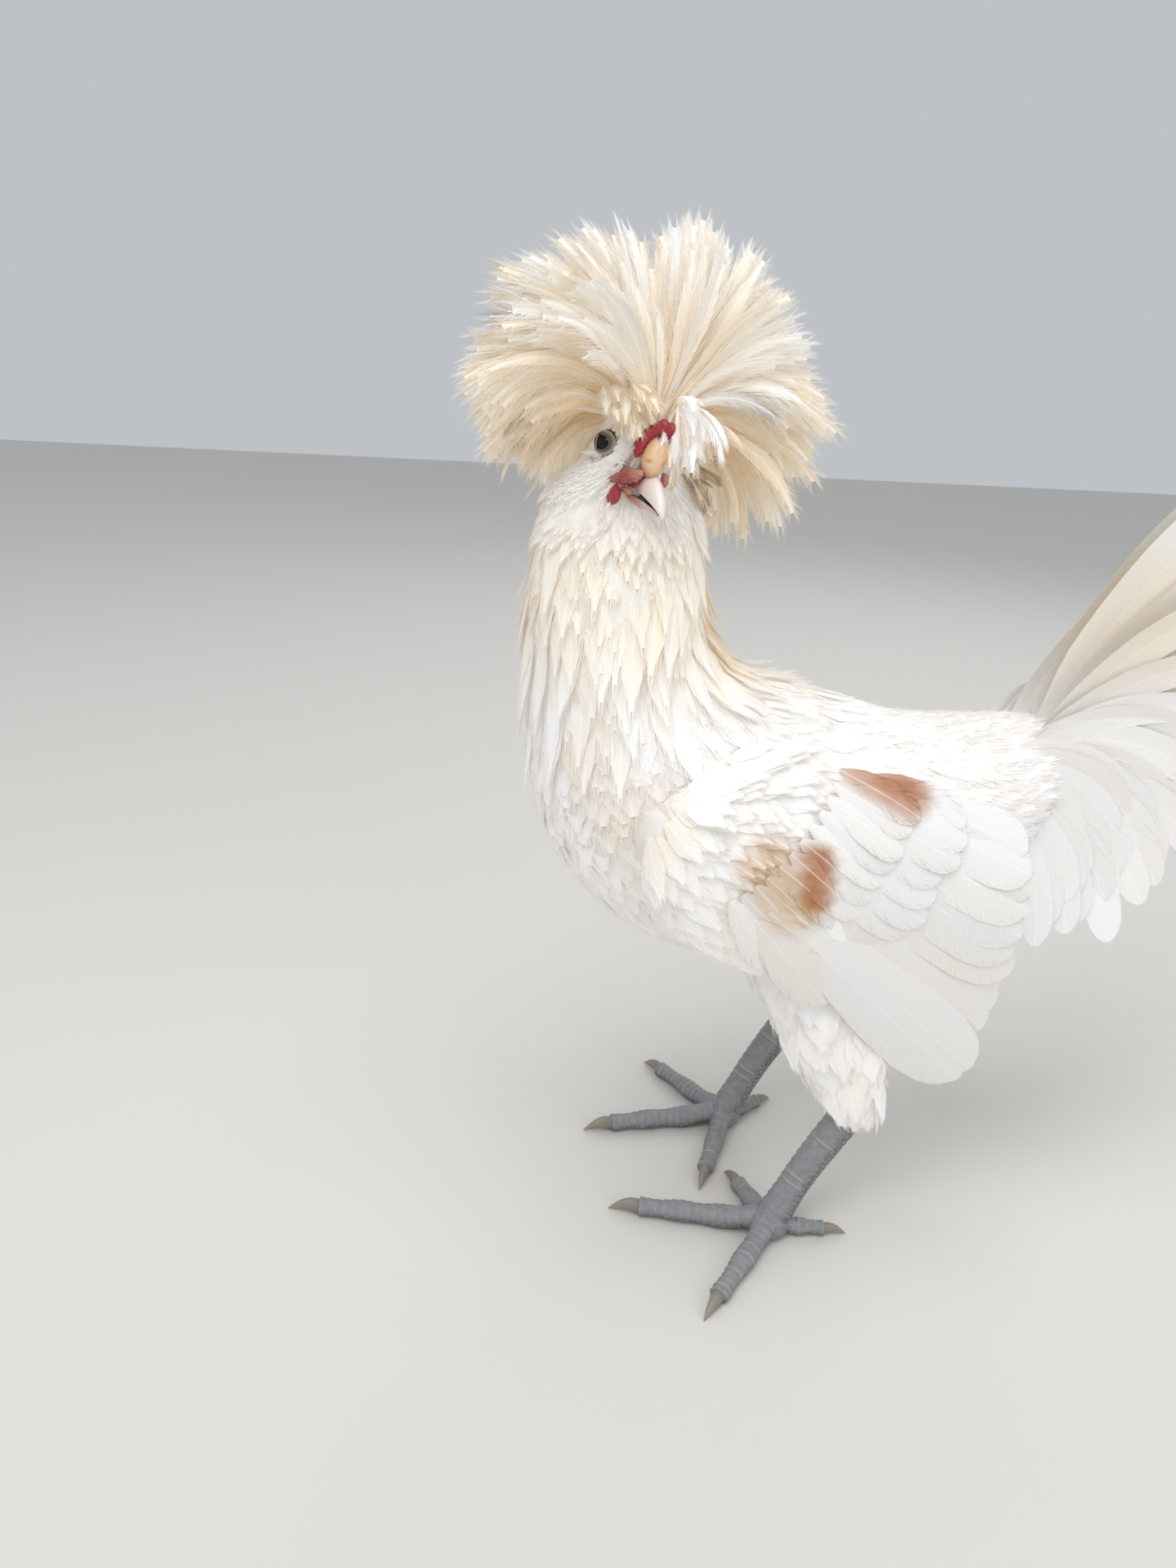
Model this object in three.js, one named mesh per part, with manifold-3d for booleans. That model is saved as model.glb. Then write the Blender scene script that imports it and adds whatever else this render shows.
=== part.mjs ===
// A crested cockerel at life size, standing, with its head turned to its left.
// Millimetres, +Z up. The bird faces -Y, its left side is +X, and the floor is z = 0.
import * as THREE from "three";
import { mergeVertices } from "three/addons/utils/BufferGeometryUtils.js";
import Module from "manifold-3d";

const wasm = await Module();
wasm.setup();

// Driving dimensions.
const GAP = 0.3; // between pieces that touch
const VANE_THICK = 0.8; // a feather vane at its root
const TIP_THICK = 0.45; // the same at its tip
const SEED = 7;

// Where the trunk is parted, counted along SECTIONS.
const TAIL_END = 0;
const RUMP_CUT = 1.3;
const NECK_CUT = 7;
const THROAT_CUT = 10.5;
const CROWN_END = 15;

// The trunk from the tail root to the crown: place of the section's middle, pitch of its axis
// (0 forward, 90 up), turn to the bird's left, and its half width, back and front radii.
const section = (y, z, x, pitch, turn, half, back, front) => ({ y, z, x, pitch, turn, half, back, front });
const SECTIONS = [
  section(134, 228, 0, -28, 0, 9, 8, 10),
  section(118, 221, 0, -24, 0, 26, 20, 26),
  section(92, 206, 0, -12, 0, 42, 34, 46),
  section(48, 192, 0, -3, 0, 58, 50, 60),
  section(0, 190, 0, 4, 0, 65, 65, 66),
  section(-45, 200, 0, 20, 0, 65, 65, 68),
  section(-75, 222, 0, 48, 0, 59, 61, 58),
  section(-89, 252, 0, 75, 15, 47, 51, 40),
  section(-93, 285, 0, 88, 45, 40, 42, 38),
  section(-93, 309, 0, 90, 75, 37, 35, 29),
  section(-91, 324, 0, 90, 88, 34, 31, 18),
  section(-90, 335, 0, 90, 88, 30, 29, 11.5),
  section(-89, 343, 0, 90, 88, 21, 27, 15.5),
  section(-89, 351, 0, 90, 88, 15, 25, 19.5),
  section(-88, 360, 0, 90, 88, 13, 20, 16),
  section(-87, 370, 0, 90, 88, 5, 8, 7),
];

// The head turns to face +X and leans a little to its left.
const HEAD = { middle: [0, -90.5, 350], turn: 7, lean: 7 };
const EYE = { ahead: 7, out: 12.6, up: 0, radius: 5.2, lidRadius: 5.6, lidThick: 1.1 };

const rad = THREE.MathUtils.degToRad;
const v3 = (x = 0, y = 0, z = 0) => new THREE.Vector3(x, y, z);
const lerp = THREE.MathUtils.lerp;

// A direction turned from `a` towards `b` by an angle in radians, where the two are square.
const turned = (a, b, angle) =>
  a.clone().multiplyScalar(Math.cos(angle)).addScaledVector(b, Math.sin(angle));

// A repeatable stream of numbers from 0 to 1.
function randomStream(seed) {
  let state = seed;
  return () => {
    state = (state + 0x6d2b79f5) | 0;
    let t = Math.imul(state ^ (state >>> 15), 1 | state);
    t = (t + Math.imul(t ^ (t >>> 7), 61 | t)) ^ t;
    return ((t ^ (t >>> 14)) >>> 0) / 4294967296;
  };
}
const random = randomStream(SEED);
const vary = (share) => 1 + share * (2 * random() - 1);

// Solids and their booleans.

function solidOf(geometry) {
  const bare = new THREE.BufferGeometry().setAttribute("position", geometry.getAttribute("position"));
  bare.setIndex(geometry.index);
  const merged = mergeVertices(bare, 1e-4);
  const faces = new Uint32Array(merged.index.array);
  const corner = (i) => v3().fromBufferAttribute(merged.attributes.position, faces[i]);
  let volume = 0;
  for (let i = 0; i < faces.length; i += 3) volume += corner(i).dot(corner(i + 1).cross(corner(i + 2)));
  if (volume < 0) faces.reverse();
  const vertProperties = new Float32Array(merged.attributes.position.array);
  return new wasm.Manifold(new wasm.Mesh({ numProp: 3, vertProperties, triVerts: faces }));
}

// A closed skin over rings of points, with a flat fan on each end. Where `thin` is set, the second
// half of each ring is split the other way, so that both faces of a plate fold alike.
function ringSolid(rings, thin = false) {
  const sides = rings[0].length;
  const points = rings.flat();
  const faces = [];
  for (let i = 0; i + 1 < rings.length; i++)
    for (let j = 0; j < sides; j++) {
      const next = (j + 1) % sides;
      const [a, b] = [i * sides + j, i * sides + next];
      const [c, d] = [a + sides, b + sides];
      if (thin && j >= sides / 2) faces.push(a, b, c, b, d, c);
      else faces.push(a, b, d, a, d, c);
    }
  for (const [ring, first, flip] of [
    [rings[0], 0, true],
    [rings.at(-1), (rings.length - 1) * sides, false],
  ]) {
    if (thin) {
      const [a, b, c, d] = [first, first + 1, first + 2, first + 3];
      faces.push(...(flip ? [b, a, c, c, a, d] : [a, b, c, a, c, d]));
      continue;
    }
    const middle = ring.reduce((sum, p) => sum.add(p), v3(0, 0, 0)).divideScalar(sides);
    const hub = points.push(middle) - 1;
    for (let j = 0; j < sides; j++) {
      const [a, b] = [first + j, first + ((j + 1) % sides)];
      faces.push(...(flip ? [b, a, hub] : [a, b, hub]));
    }
  }
  const geometry = new THREE.BufferGeometry().setFromPoints(points);
  geometry.setIndex(faces);
  return solidOf(geometry);
}

// Joins solids into one, and keeps its largest closed surface.
function fuse(pieces) {
  const whole = wasm.Manifold.union(pieces);
  return largest(whole);
}

function largest(solid) {
  const parts = solid.decompose();
  return parts.reduce((best, part) => (part.volume() > best.volume() ? part : best), parts[0]);
}

const cutFrom = (solid, ...tools) => largest(tools.reduce((left, tool) => left.subtract(tool), solid));

// An ellipsoid about a point, with its three radii along a frame of unit vectors.
function ellipsoid(middle, radii, frame = WORLD, detail = 14) {
  const geometry = new THREE.SphereGeometry(1, detail, Math.round(detail * 0.7));
  const place = new THREE.Matrix4().makeBasis(
    frame[0].clone().multiplyScalar(radii[0]),
    frame[1].clone().multiplyScalar(radii[1]),
    frame[2].clone().multiplyScalar(radii[2]),
  );
  geometry.applyMatrix4(place.setPosition(middle));
  return solidOf(geometry);
}
const WORLD = [v3(1, 0, 0), v3(0, 1, 0), v3(0, 0, 1)];

// The trunk.

// A smooth value between the sections: Catmull-Rom on each field.
function between(field, k) {
  const i = Math.min(Math.floor(k), SECTIONS.length - 2);
  const f = k - i;
  const value = (n) => SECTIONS[THREE.MathUtils.clamp(n, 0, SECTIONS.length - 1)][field];
  const [a, b, c, d] = [value(i - 1), value(i), value(i + 1), value(i + 2)];
  const [slope, curve, twist] = [c - a, 2 * a - 5 * b + 4 * c - d, 3 * b - a - 3 * c + d];
  return 0.5 * (2 * b + slope * f + curve * f * f + twist * f ** 3);
}

// The section at k: its middle, the way ahead, the way its front faces, and its left side.
function sectionAt(k) {
  const pitch = rad(between("pitch", k));
  const turn = rad(between("turn", k));
  const ahead = v3(0, -Math.cos(pitch), Math.sin(pitch));
  const down = v3(0, -Math.sin(pitch), -Math.cos(pitch));
  const left = v3(1, 0, 0);
  return {
    middle: v3(between("x", k), between("y", k), between("z", k)),
    ahead,
    turn,
    front: down.clone().multiplyScalar(Math.cos(turn)).addScaledVector(left, Math.sin(turn)),
    left: left.clone().multiplyScalar(Math.cos(turn)).addScaledVector(down, -Math.sin(turn)),
    half: between("half", k),
    backRadius: between("back", k),
    frontRadius: between("front", k),
  };
}

// A point on the trunk, at angle v from the breast side towards the bird's left.
function trunkPoint(k, v, lift = 0) {
  const s = sectionAt(k);
  const own = v - s.turn;
  const reach = (Math.cos(own) > 0 ? s.frontRadius : s.backRadius) + lift;
  return s.middle
    .clone()
    .addScaledVector(s.front, reach * Math.cos(own))
    .addScaledVector(s.left, (s.half + lift) * Math.sin(own));
}

function trunkPiece(from, to, count, sides, lift = 0, trim = GAP / 2) {
  const rings = [];
  for (let i = 0; i < count; i++) {
    const k = lerp(from, to, i / (count - 1));
    const shift = i === 0 ? trim : i === count - 1 ? -trim : 0;
    const ahead = sectionAt(k).ahead;
    const ring = [];
    for (let j = 0; j < sides; j++)
      ring.push(trunkPoint(k, (2 * Math.PI * j) / sides, lift).addScaledVector(ahead, shift));
    rings.push(ring);
  }
  return ringSolid(rings);
}

const TORSO_GRID = [16, 20];
const NECK_GRID = [8, 18];
const HEAD_GRID = [10, 16];
const torsoBody = (lift, trim) => trunkPiece(RUMP_CUT, NECK_CUT, ...TORSO_GRID, lift, trim);
const neckBody = (lift, trim) => trunkPiece(NECK_CUT, THROAT_CUT, ...NECK_GRID, lift, trim);
const headBody = (lift, trim) => trunkPiece(THROAT_CUT, CROWN_END, ...HEAD_GRID, lift, trim);
const torsoRoom = torsoBody(GAP, -GAP);
const neckRoom = neckBody(GAP, -GAP);
const headRoom = headBody(GAP, -GAP);

// Feather vanes.

// Width along a vane, as [share of the length, share of the width].
const FLIGHT_OUTLINE = [[0, 0.3], [0.3, 0.8], [0.62, 1], [0.88, 0.78], [1, 0.22]];
const COVERT_OUTLINE = [[0, 0.4], [0.45, 0.95], [0.82, 0.9], [1, 0.3]];
const HACKLE_OUTLINE = [[0, 0.45], [0.4, 1], [0.75, 0.75], [1, 0.1]];
const SICKLE_OUTLINE = [[0, 0.5], [0.22, 0.9], [0.45, 1], [0.65, 0.85], [0.84, 0.6], [1, 0.12]];
const CREST_OUTLINE = [[0, 0.4], [0.4, 0.85], [0.65, 1], [0.86, 0.8], [1, 0.15]];

// A vane along a circular arc: it leaves `root` along `heading` and bends towards `curl` by `bend`
// degrees. At roll 0 its face looks along the bend, and at roll 90 it lies flat in the arc's plane.
function vane(root, heading, curl, { length, width, bend = 10, roll = 0, outline = FLIGHT_OUTLINE }) {
  const ahead = heading.clone().normalize();
  const towards = curl.clone().addScaledVector(ahead, -curl.dot(ahead)).normalize();
  const across = ahead.clone().cross(towards);
  const turn = Math.max(rad(bend), 1e-3);
  const rings = outline.map(([share, spread]) => {
    const angle = turn * share;
    const middle = root
      .clone()
      .addScaledVector(ahead, (length * Math.sin(angle)) / turn)
      .addScaledVector(towards, (length * (1 - Math.cos(angle))) / turn);
    const inward = turned(towards, ahead, -angle);
    const side = turned(across, inward, rad(roll));
    const face = turned(inward, across, -rad(roll));
    const half = (width * spread) / 2;
    const thick = lerp(VANE_THICK, TIP_THICK, share) / 2;
    return [[-1, 1], [1, 1], [1, -1], [-1, -1]].map(([s, f]) =>
      middle.clone().addScaledVector(side, s * half).addScaledVector(face, f * thick),
    );
  });
  return ringSolid(rings, true);
}

// The head's own frame: ahead, left and up.
function headFrame() {
  const turn = rad(HEAD.turn);
  const lean = rad(HEAD.lean);
  const ahead = v3(Math.cos(turn), Math.sin(turn), 0);
  const level = v3(-Math.sin(turn), Math.cos(turn), 0);
  return [ahead, turned(level, WORLD[2], -lean), turned(WORLD[2], level, lean)];
}
const FACE = headFrame();
const onHead = (ahead, left, up) =>
  v3(...HEAD.middle)
    .addScaledVector(FACE[0], ahead)
    .addScaledVector(FACE[1], left)
    .addScaledVector(FACE[2], up);

// The crest: tiers of vanes that spring from the crown like an open flower and arch over. In front
// they rise from the forehead instead, so that the face stays clear.
const CREST = {
  ahead: 1,
  left: 4.5,
  up: 20,
  core: [25, 30, 26],
  sink: 0.55,
  frontSink: 0.9,
  frontRise: 70,
  frontBend: 46,
  frontLength: 0.76,
};
// Each tier: elevation at the root, how many in a full round, length, width and bend, and the angle
// each side of the front that it leaves open.
const CREST_TIERS = [
  { rise: 82, count: 5, length: 56, width: 18.5, bend: 60, open: 0 },
  { rise: 64, count: 9, length: 64, width: 18.5, bend: 72, open: 0 },
  { rise: 44, count: 12, length: 71, width: 18.5, bend: 86, open: 0 },
  { rise: 25, count: 15, length: 72, width: 18.5, bend: 88, open: 0 },
  { rise: 6, count: 15, length: 68, width: 17.5, bend: 84, open: 0 },
  { rise: -14, count: 11, length: 57, width: 17, bend: 74, open: 78 },
];

function crest() {
  const middle = onHead(CREST.ahead, CREST.left, CREST.up);
  const pieces = [ellipsoid(middle, CREST.core, FACE, 10)];
  for (const [step, tier] of CREST_TIERS.entries())
    for (let i = 0; i < tier.count; i++) {
      const azimuth = (360 * (i + (step % 2) / 2)) / tier.count - 180;
      if (Math.abs(azimuth) < tier.open) continue;
      const around = rad(azimuth + 4 * (random() - 0.5));
      const inFront = Math.max(0, Math.cos(around)) ** 2;
      const level = turned(FACE[0], FACE[1], around);
      const lifted = (degrees) =>
        turned(level, FACE[2], rad(degrees));
      const rootWay = lifted(tier.rise);
      const rise = tier.rise + 6 * (random() - 0.5);
      const heading = lifted(lerp(rise, Math.max(rise, CREST.frontRise), inFront));
      const root = middle.clone();
      const sink = lerp(CREST.sink, CREST.frontSink, inFront);
      CREST.core.forEach((radius, axis) => {
        root.addScaledVector(FACE[axis], sink * radius * rootWay.dot(FACE[axis]));
      });
      const bend = lerp(tier.bend, CREST.frontBend, inFront) * vary(0.1);
      const length = tier.length * lerp(1, CREST.frontLength, inFront) * vary(0.06);
      const shape = { length, width: tier.width * vary(0.08), bend, roll: 8 };
      const curl = FACE[2].clone().negate();
      pieces.push(vane(root, heading, curl, { ...shape, outline: CREST_OUTLINE }));
    }
  return cutFrom(fuse(pieces), headRoom, neckRoom, ...faceRoom());
}

// The head's small parts.

function eyeMiddle(side, proud = 0) {
  return onHead(EYE.ahead, side * (EYE.out + proud), EYE.up);
}

function eyeBall(side) {
  return ellipsoid(eyeMiddle(side), [EYE.radius, EYE.radius * 0.8, EYE.radius], FACE, 10);
}

// A ring of lid round the eye: a lathe profile turned about the way the eye looks.
function lid(side) {
  const profile = [];
  const sides = 5;
  for (let i = 0; i <= sides; i++) {
    const angle = (-2 * Math.PI * i) / sides;
    const reach = EYE.lidRadius + EYE.lidThick * Math.cos(angle);
    profile.push(new THREE.Vector2(reach, EYE.lidThick * Math.sin(angle)));
  }
  const ring = new THREE.LatheGeometry(profile, 14);
  const place = new THREE.Matrix4().makeBasis(FACE[0], FACE[1].clone().multiplyScalar(side), FACE[2]);
  if (side < 0) place.makeBasis(FACE[0].clone().negate(), FACE[1].clone().negate(), FACE[2]);
  return solidOf(ring.applyMatrix4(place.setPosition(eyeMiddle(side, 1.3))));
}

// The space that the crest leaves free: round the eyes with their lids, and round comb and nostrils.
function faceRoom() {
  const lidReach = EYE.lidRadius + EYE.lidThick + 4 * GAP;
  const eyes = [1, -1].map((side) => ellipsoid(eyeMiddle(side, 2), [lidReach, 7.5, lidReach], FACE, 10));
  const front = onHead(COMB.ahead, 0, COMB.up);
  return [...eyes, ellipsoid(front, [15, 14, 15.5], FACE, 10)];
}

function headNode() {
  const socket = Array(3).fill(EYE.radius + GAP);
  const sockets = [1, -1].map((side) => ellipsoid(eyeMiddle(side), socket, FACE, 10));
  return cutFrom(fuse([headBody(0), lid(1), lid(-1)]), ...sockets);
}

// The beak, in sections from its root to its tip: how far ahead, the height of the mouth line, the
// half width, and the depth of that half of the beak.
const UPPER_BEAK = [
  [8, -14, 7.2, 8],
  [16, -14.4, 6.8, 9.2],
  [23, -15, 5.6, 9],
  [29, -16, 4.6, 7.4],
  [34, -17.3, 3.7, 5.6],
  [38, -19.2, 2.5, 3.9],
  [40.3, -21.2, 1.2, 2],
  [41, -22.4, 0.4, 0.7],
];
const LOWER_BEAK = [
  [8, -15.2, 6.4, 4],
  [16, -17.2, 5.6, 4],
  [23, -18.6, 4.5, 3.6],
  [29, -19.6, 3.4, 2.9],
  [33.5, -20.3, 2.3, 2.1],
  [36.5, -20.9, 0.9, 0.9],
];

// Half a beak: each section is a half ellipse that stands on the mouth line, or hangs from it.
function beakHalf(upper, grow = 0) {
  const sides = 8;
  const rings = (upper ? UPPER_BEAK : LOWER_BEAK).map(([ahead, up, half, deep]) => {
    const ring = [];
    for (let j = 0; j < sides; j++) {
      const round = (Math.PI * j) / (sides - 1);
      const lift = Math.sin(round) * (deep + grow) - grow;
      const out = Math.cos(round) * (half + grow);
      ring.push(onHead(ahead + grow * 0.5, out, up + (upper ? lift : -lift)));
    }
    return ring;
  });
  return ringSolid(rings);
}

// The raised nostrils: a knob over the root of the upper beak, with an opening each side.
const KNOB = { ahead: 24, up: -4, radii: [6.4, 5.6, 6.6] };

const knobSolid = (grow) =>
  ellipsoid(onHead(KNOB.ahead, 0, KNOB.up), KNOB.radii.map((r) => r + grow), FACE, 9);

function upperBeak() {
  const nostrils = [1, -1].map((side) =>
    ellipsoid(onHead(KNOB.ahead + 3.6, side * 4.6, KNOB.up - 1.8), [2.2, 1.6, 1], FACE, 6),
  );
  return cutFrom(fuse([beakHalf(true), knobSolid(0)]), headRoom, ...nostrils);
}

const lowerBeak = () => cutFrom(beakHalf(false), headRoom, neckRoom);

// The comb: a low red horseshoe behind the knob that ends in two short horns.
const COMB = { ahead: 21, up: -3.4, arch: 6.6, thick: 1.7, horn: 5 };

function comb() {
  const rings = [];
  const steps = 8;
  const sides = 5;
  for (let i = 0; i <= steps; i++) {
    const sweep = lerp(-0.2, Math.PI + 0.2, i / steps);
    const [left, up] = [Math.cos(sweep), Math.sin(sweep)];
    const ring = [];
    for (let j = 0; j < sides; j++) {
      const angle = (2 * Math.PI * j) / sides;
      const out = COMB.arch + COMB.thick * Math.cos(angle);
      ring.push(onHead(COMB.ahead + COMB.thick * 1.2 * Math.sin(angle), left * out, COMB.up + up * out));
    }
    rings.push(ring);
  }
  const horns = [1, -1].map((side) => {
    const foot = onHead(COMB.ahead - 0.5, side * 3, COMB.up + COMB.arch - 1);
    const rise = FACE[2].clone().addScaledVector(FACE[1], side * 0.55).addScaledVector(FACE[0], -0.35);
    return spike(foot, rise.normalize(), COMB.horn, 2.2, 5);
  });
  return cutFrom(fuse([ringSolid(rings), ...horns]), headRoom, knobSolid(GAP), beakHalf(true, GAP));
}

// A blunt cone with a rounded end.
function spike(foot, way, length, radius, sides) {
  const lay = way.clone().cross(Math.abs(way.z) < 0.9 ? WORLD[2] : WORLD[0]).normalize();
  const other = way.clone().cross(lay);
  const rings = [[0, 1], [0.45, 0.82], [0.8, 0.5], [1, 0.12]].map(([share, spread]) => {
    const ring = [];
    for (let j = 0; j < sides; j++) {
      const angle = (2 * Math.PI * j) / sides;
      ring.push(
        foot
          .clone()
          .addScaledVector(way, share * length)
          .addScaledVector(lay, radius * spread * Math.cos(angle))
          .addScaledVector(other, radius * spread * Math.sin(angle)),
      );
    }
    return ring;
  });
  return ringSolid(rings);
}

// A small wattle: a fold that hangs from the corner of the mouth, with a bulb at its lower edge.
function wattle(side) {
  const fold = ellipsoid(onHead(12.8, side * 8.4, -16.6), [4.4, 2, 3.6], FACE, 8);
  const bulb = ellipsoid(onHead(12.6, side * 9.2, -20), [3.8, 2.1, 3.9], FACE, 8);
  return cutFrom(fuse([fold, bulb]), headRoom, neckRoom, beakHalf(false, GAP), beakHalf(true, GAP));
}

// Wings.

const WING = {
  front: 6.15,
  rear: 2.75,
  middle: 92,
  spread: 46,
  thick: 13,
  sink: 4,
  flare: 0.85,
};

// A point on the folded wing's sheet: the trunk's side, but hanging straight below its middle.
function wingPoint(side, k, degrees, lift) {
  const s = sectionAt(k);
  const v = rad(degrees);
  const out = degrees < 90 ? lerp(Math.sin(v), 1, WING.flare) : Math.sin(v);
  const reach = Math.cos(v) > 0 ? s.frontRadius : s.backRadius + lift;
  const point = s.middle
    .clone()
    .addScaledVector(s.front, reach * Math.cos(v))
    .addScaledVector(s.left, (s.half + lift) * out);
  return v3(point.x * side, point.y, point.z);
}

function wingCore(side, grow = 0) {
  const rings = [];
  const steps = 8;
  const across = 6;
  for (let i = 0; i <= steps; i++) {
    const along = i / steps;
    const k = lerp(WING.front, WING.rear, along);
    const round = Math.sqrt(Math.max(0.06, 1 - (2 * along - 1) ** 4));
    const at = (b) => WING.middle + (WING.spread + 2 * grow) * round * b * lerp(0.8, 1, along);
    const outer = [];
    const inner = [];
    for (let j = 0; j <= across; j++) {
      const b = (2 * j) / across - 1;
      const swell = Math.sqrt(Math.max(0.02, 1 - b * b)) * round;
      outer.push(wingPoint(side, k, at(b), 1 + WING.thick * swell + grow));
      if (j % 2 === 0) inner.push(wingPoint(side, k, at(b), -WING.sink - 2 * grow));
    }
    rings.push([...outer, ...inner.reverse()]);
  }
  return ringSolid(rings);
}

// Each tier: how many, where the first and last are rooted (section, angle from the belly), how far
// out, and the slope, length and width of the first and last. The first lies lowest.
const WING_TIERS = [
  {
    count: 3, from: [4.35, 70], to: [3.8, 84],
    lift: 8, slope: [-42, -36], length: [122, 80], width: [22, 22],
  },
  {
    count: 6, from: [4.5, 72], to: [3.7, 120],
    lift: 10.5, slope: [-40, -22], length: [140, 62], width: [36, 28],
  },
  {
    count: 5, from: [4.9, 73], to: [4.1, 124],
    lift: 12.5, slope: [-41, -24], length: [66, 50], width: [30, 27],
  },
  {
    count: 4, from: [5.3, 78], to: [4.6, 122],
    lift: 14, slope: [-40, -28], length: [46, 44], width: [28, 27],
  },
];

// The nth of a row between two ends, where most of the change comes early.
const early = ([first, last], share) => lerp(first, last, share ** 0.75);
const evenly = ([first, last], share) => lerp(first, last, share);

function wing(side) {
  const pieces = [wingCore(side)];
  for (const [row, tier] of WING_TIERS.entries())
    for (let i = 0; i < tier.count; i++) {
      const share = i / (tier.count - 1);
      const [k, degrees] = [0, 1].map((n) => lerp(tier.from[n], tier.to[n], share));
      const root = wingPoint(side, k, degrees, tier.lift);
      const rise = wingPoint(side, k, degrees + 4, tier.lift).sub(root).normalize();
      const slope = rad(early(tier.slope, share) + 3 * (random() - 0.5));
      const heading = v3(0, Math.cos(slope), 0).addScaledVector(rise, Math.sin(slope));
      const inward = v3(-side, 0, 0).addScaledVector(rise, rise.x * side).normalize();
      const length = early(tier.length, share) * vary(0.03);
      const shape = { length, width: evenly(tier.width, share), bend: 9, roll: -7 * side };
      const outline = row < 2 ? FLIGHT_OUTLINE : COVERT_OUTLINE;
      pieces.push(vane(root, heading, inward, { ...shape, outline }));
    }
  return cutFrom(fuse(pieces), torsoRoom);
}

// The tail.

// The fan of each side, from its top feather down: elevation, length, width, bend, and how far out
// from the middle its root lies.
const TAIL_FAN = {
  count: 7,
  rise: [67, 4],
  length: [188, 128],
  width: [31, 25],
  bend: [36, 22],
  out: [2.5, 17],
};
const SICKLE = { rise: 62, length: 212, width: 20, bend: 74, out: 12 };
// The coverts that hang over the fan's root, from the top one down.
const COVERTS = {
  count: 5,
  rise: [46, -40],
  length: [108, 76],
  width: [29, 25],
  bend: [66, 42],
  out: [13, 23],
};

function tail() {
  const pieces = [trunkPiece(TAIL_END, RUMP_CUT, 6, 16)];
  for (const side of [1, -1]) {
    for (let i = 0; i < TAIL_FAN.count; i++) {
      const share = i / (TAIL_FAN.count - 1);
      const rise = rad(evenly(TAIL_FAN.rise, share) + 2 * (random() - 0.5));
      const root = v3(side * evenly(TAIL_FAN.out, share), 116, lerp(231, 214, share));
      const heading = v3(side * lerp(0.03, 0.16, share), Math.cos(rise), Math.sin(rise));
      const curl = v3(0, Math.sin(rise), -Math.cos(rise));
      const shape = { length: evenly(TAIL_FAN.length, share), width: evenly(TAIL_FAN.width, share) };
      const pose = { bend: evenly(TAIL_FAN.bend, share), roll: 90 + 4 * side };
      pieces.push(vane(root, heading, curl, { ...shape, ...pose }));
    }
    const climb = rad(SICKLE.rise);
    const sickleRoot = v3(side * SICKLE.out, 112, 228);
    const sickleHeading = v3(side * 0.12, Math.cos(climb), Math.sin(climb));
    const sickleCurl = v3(0, Math.sin(climb), -Math.cos(climb));
    const sickle = { length: SICKLE.length, width: SICKLE.width, bend: SICKLE.bend, roll: 90 + 4 * side };
    pieces.push(vane(sickleRoot, sickleHeading, sickleCurl, { ...sickle, outline: SICKLE_OUTLINE }));
    for (let i = 0; i < COVERTS.count; i++) {
      const share = i / (COVERTS.count - 1);
      const rise = rad(evenly(COVERTS.rise, share));
      const root = v3(side * evenly(COVERTS.out, share), 110, lerp(232, 206, share));
      const heading = v3(side * lerp(0.14, 0.32, share), Math.cos(rise), Math.sin(rise)).normalize();
      const curl = v3(0, Math.sin(rise), -Math.cos(rise));
      const length = evenly(COVERTS.length, share) * vary(0.05);
      const shape = { length, width: evenly(COVERTS.width, share) };
      const pose = { bend: evenly(COVERTS.bend, share), roll: 90 + 4 * side };
      pieces.push(vane(root, heading, curl, { ...shape, ...pose }));
    }
  }
  return cutFrom(fuse(pieces), torsoRoom);
}

// The torso carries the pointed saddle hackles that fall behind each wing. Each lies along the
// torso's side and follows it inwards.
const SADDLE = {
  count: 5,
  from: [2.3, 142],
  to: [1.95, 98],
  length: [80, 54],
  width: 18,
  slope: [-34, -66],
};

function torso() {
  const pieces = [torsoBody(0)];
  for (const side of [1, -1])
    for (let i = 0; i < SADDLE.count; i++) {
      const share = i / (SADDLE.count - 1);
      const [k, degrees] = [0, 1].map((n) => lerp(SADDLE.from[n], SADDLE.to[n], share));
      const root = trunkPoint(k, side * rad(degrees), -1.5);
      const rise = trunkPoint(k, side * rad(degrees + 4), -1.5).sub(root).normalize();
      const outward = trunkPoint(k, side * rad(degrees), 4).sub(root).normalize();
      const slope = rad(evenly(SADDLE.slope, share));
      const rearward = trunkPoint(k - 0.1, side * rad(degrees), -1.5).sub(root).normalize();
      const heading = rearward.multiplyScalar(Math.cos(slope)).addScaledVector(rise, Math.sin(slope));
      heading.addScaledVector(outward, 0.16);
      const shape = { length: evenly(SADDLE.length, share) * vary(0.06), width: SADDLE.width, bend: 26 };
      const pose = { roll: -8 * side, outline: HACKLE_OUTLINE };
      pieces.push(vane(root, heading, outward.negate(), { ...shape, ...pose }));
    }
  return fuse(pieces);
}

// Legs.

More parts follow.
